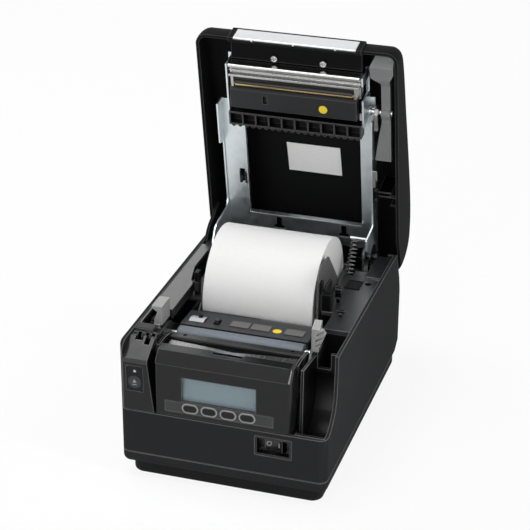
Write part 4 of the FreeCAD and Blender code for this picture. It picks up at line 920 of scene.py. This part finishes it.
    def spring(self, material):
        """One wire wound round a leaning axis from the chassis up to the cover's tab."""
        foot = spot(*SPRING_FOOT)
        rise = spot(*SPRING_HEAD) - foot
        axis = rise.normalized()
        steps = SPRING_TURNS * SPRING_TURN_STEPS
        bm = bmesh.new()
        bmesh.ops.create_circle(bm, cap_ends=True, segments=10, radius=SPRING_WIRE_R)
        turned(bm, math.pi / 2, "X")
        moved_to(bm, foot + Vector((SPRING_R, 0, 0)))
        bmesh.ops.spin(bm, geom=bm.faces[:], cent=foot, axis=axis, dvec=rise / steps,
                       angle=2 * math.pi * SPRING_TURNS, steps=steps, use_duplicate=False)
        coil = finish_piece("coil_spring", bm, material, "case")
        coil.data.shade_smooth()
        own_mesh(coil)
        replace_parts(coil, "cover_spring")


class PRINTER_OT_stage(bpy.types.Operator):
    """Set the floor, the light and the camera"""

    bl_idname = "printer.stage"
    bl_label = "Stage"

    def execute(self, context):
        self.floor()
        self.world(context.scene)
        self.lamp("key_lamp", (-0.30, 0.0, 1.35), (0.0, 0.0, 0.10), (0.60, 0.50), 6.5)
        self.lamp("front_lamp", (-0.25, -1.70, 0.55), (0.0, 0.0, 0.15), (1.2, 0.9), 7.5)
        self.lamp("edge_lamp", (0.87, -0.28, 0.78), (0.045, -0.11, 0.09), (0.14, 0.14), 0.034, spread=12.0)
        self.lamp("cover_lamp", (-0.15, -1.50, 0.95), (0.0, 0.09, 0.20), (0.20, 0.20), 0.040, spread=20.0)
        self.lamp("back_lamp", (-0.36, 1.20, 0.60), (0.0, 0.0, 0.12), (1.5, 0.36), 2.4)
        self.lamp("left_strip", (-1.05, 0.10, 0.75), (0.0, 0.0, 0.10), (0.10, 1.2), 3.0)
        self.lamp("right_strip", (1.10, 0.05, 0.60), (0.0, 0.0, 0.12), (0.10, 1.2), 3.0)
        self.camera(context.scene)
        context.scene.view_settings.view_transform = "Standard"
        return {"FINISHED"}

    def floor(self):
        """Pale floor that keeps the shadow and meets the white background."""
        f = Finish("floor_pale")
        f.shade({"Base Color": grey(0.86), "Roughness": 0.9, "Specular IOR Level": 0.0})
        glow = f.add("Emission", {"Color": WHITE, "Strength": 1.0}).outputs[0]
        share = f.math("MULTIPLY", f.seen(), FLOOR_GLOW)
        mix = f.add("MixShader", {0: share, 1: f.shader.outputs[0], 2: glow})
        f.feed(f.output.inputs["Surface"], mix.outputs[0])
        bm = bmesh.new()
        bmesh.ops.create_grid(bm, x_segments=2, y_segments=2, size=FLOOR_SIZE)
        floor = linked("studio_floor", bm, f.material)

    def world(self, scene):
        """White to the camera and in reflections, and a plain soft light elsewhere."""
        world = bpy.data.worlds.new("studio_world")
        scene.world = world
        world.use_nodes = True
        n = NodeTree(world.node_tree)
        light = n.add("Background", {"Color": WHITE, "Strength": n.spread(n.seen(), SOFT_LIGHT, 1.0)})
        n.add("OutputWorld", {"Surface": light.outputs[0]})

    def lamp(self, name, place, target, size, power, spread=180.0):
        """Area lamp at a place, turned to a target: width and height in metres, watts, beam in degrees."""
        data = bpy.data.lights.new(name, "AREA")
        data.spread = math.radians(spread)
        data.shape = "RECTANGLE"
        data.size, data.size_y = size
        data.energy = power
        lamp = bpy.data.objects.new(name, data)
        lamp.location = place
        lamp.rotation_euler = (Vector(target) - Vector(place)).to_track_quat("-Z", "Y").to_euler()
        bpy.context.scene.collection.objects.link(lamp)

    def camera(self, scene):
        """Camera above the front right corner, about 1.3 m away."""
        data = bpy.data.cameras.new("camera")
        data.lens = sizes().camera_lens
        data.sensor_width = SENSOR_WIDTH
        camera = bpy.data.objects.new("camera", data)
        yaw, pitch, roll = (math.radians(angle) for angle in CAMERA_YAW_PITCH_ROLL)
        level = Matrix.Rotation(yaw, 4, "Z") @ Matrix.Rotation(math.pi / 2 - pitch, 4, "X")
        turn = level @ Matrix.Rotation(roll, 4, "Z")
        camera.matrix_world = Matrix.Translation(CAMERA_PLACE) @ turn
        scene.collection.objects.link(camera)
        scene.camera = camera


class PRINTER_PT_finish(bpy.types.Panel):
    """Steps and settings of the printer's finish"""

    bl_idname = "PRINTER_PT_finish"
    bl_label = "Receipt Printer"
    bl_space_type = "VIEW_3D"
    bl_region_type = "UI"
    bl_category = "Printer"

    def draw(self, context):
        for operator in OPERATORS:
            self.layout.operator(operator.bl_idname, text=operator.bl_label)
        for settings in (colours(), sizes()):
            box = self.layout.box()
            for name in settings.__annotations__:
                box.prop(settings, name)


OPERATORS = (PRINTER_OT_case, PRINTER_OT_front, PRINTER_OT_marks, PRINTER_OT_mechanism, PRINTER_OT_paper,
             PRINTER_OT_cover, PRINTER_OT_fittings, PRINTER_OT_stage)
CLASSES = (PrinterColours, PrinterSizes) + OPERATORS + (PRINTER_PT_finish,)


def register():
    for cls in CLASSES:
        bpy.utils.register_class(cls)
    bpy.types.Scene.printer_colours = PointerProperty(type=PrinterColours)
    bpy.types.Scene.printer_sizes = PointerProperty(type=PrinterSizes)


def unregister():
    del bpy.types.Scene.printer_sizes
    del bpy.types.Scene.printer_colours
    for cls in reversed(CLASSES):
        bpy.utils.unregister_class(cls)


def main():
    register()
    bpy.ops.printer.case()
    bpy.ops.printer.front()
    bpy.ops.printer.marks()
    bpy.ops.printer.mechanism()
    bpy.ops.printer.paper()
    bpy.ops.printer.cover()
    bpy.ops.printer.fittings()
    bpy.ops.printer.stage()


if __name__ == "__main__":
    main()
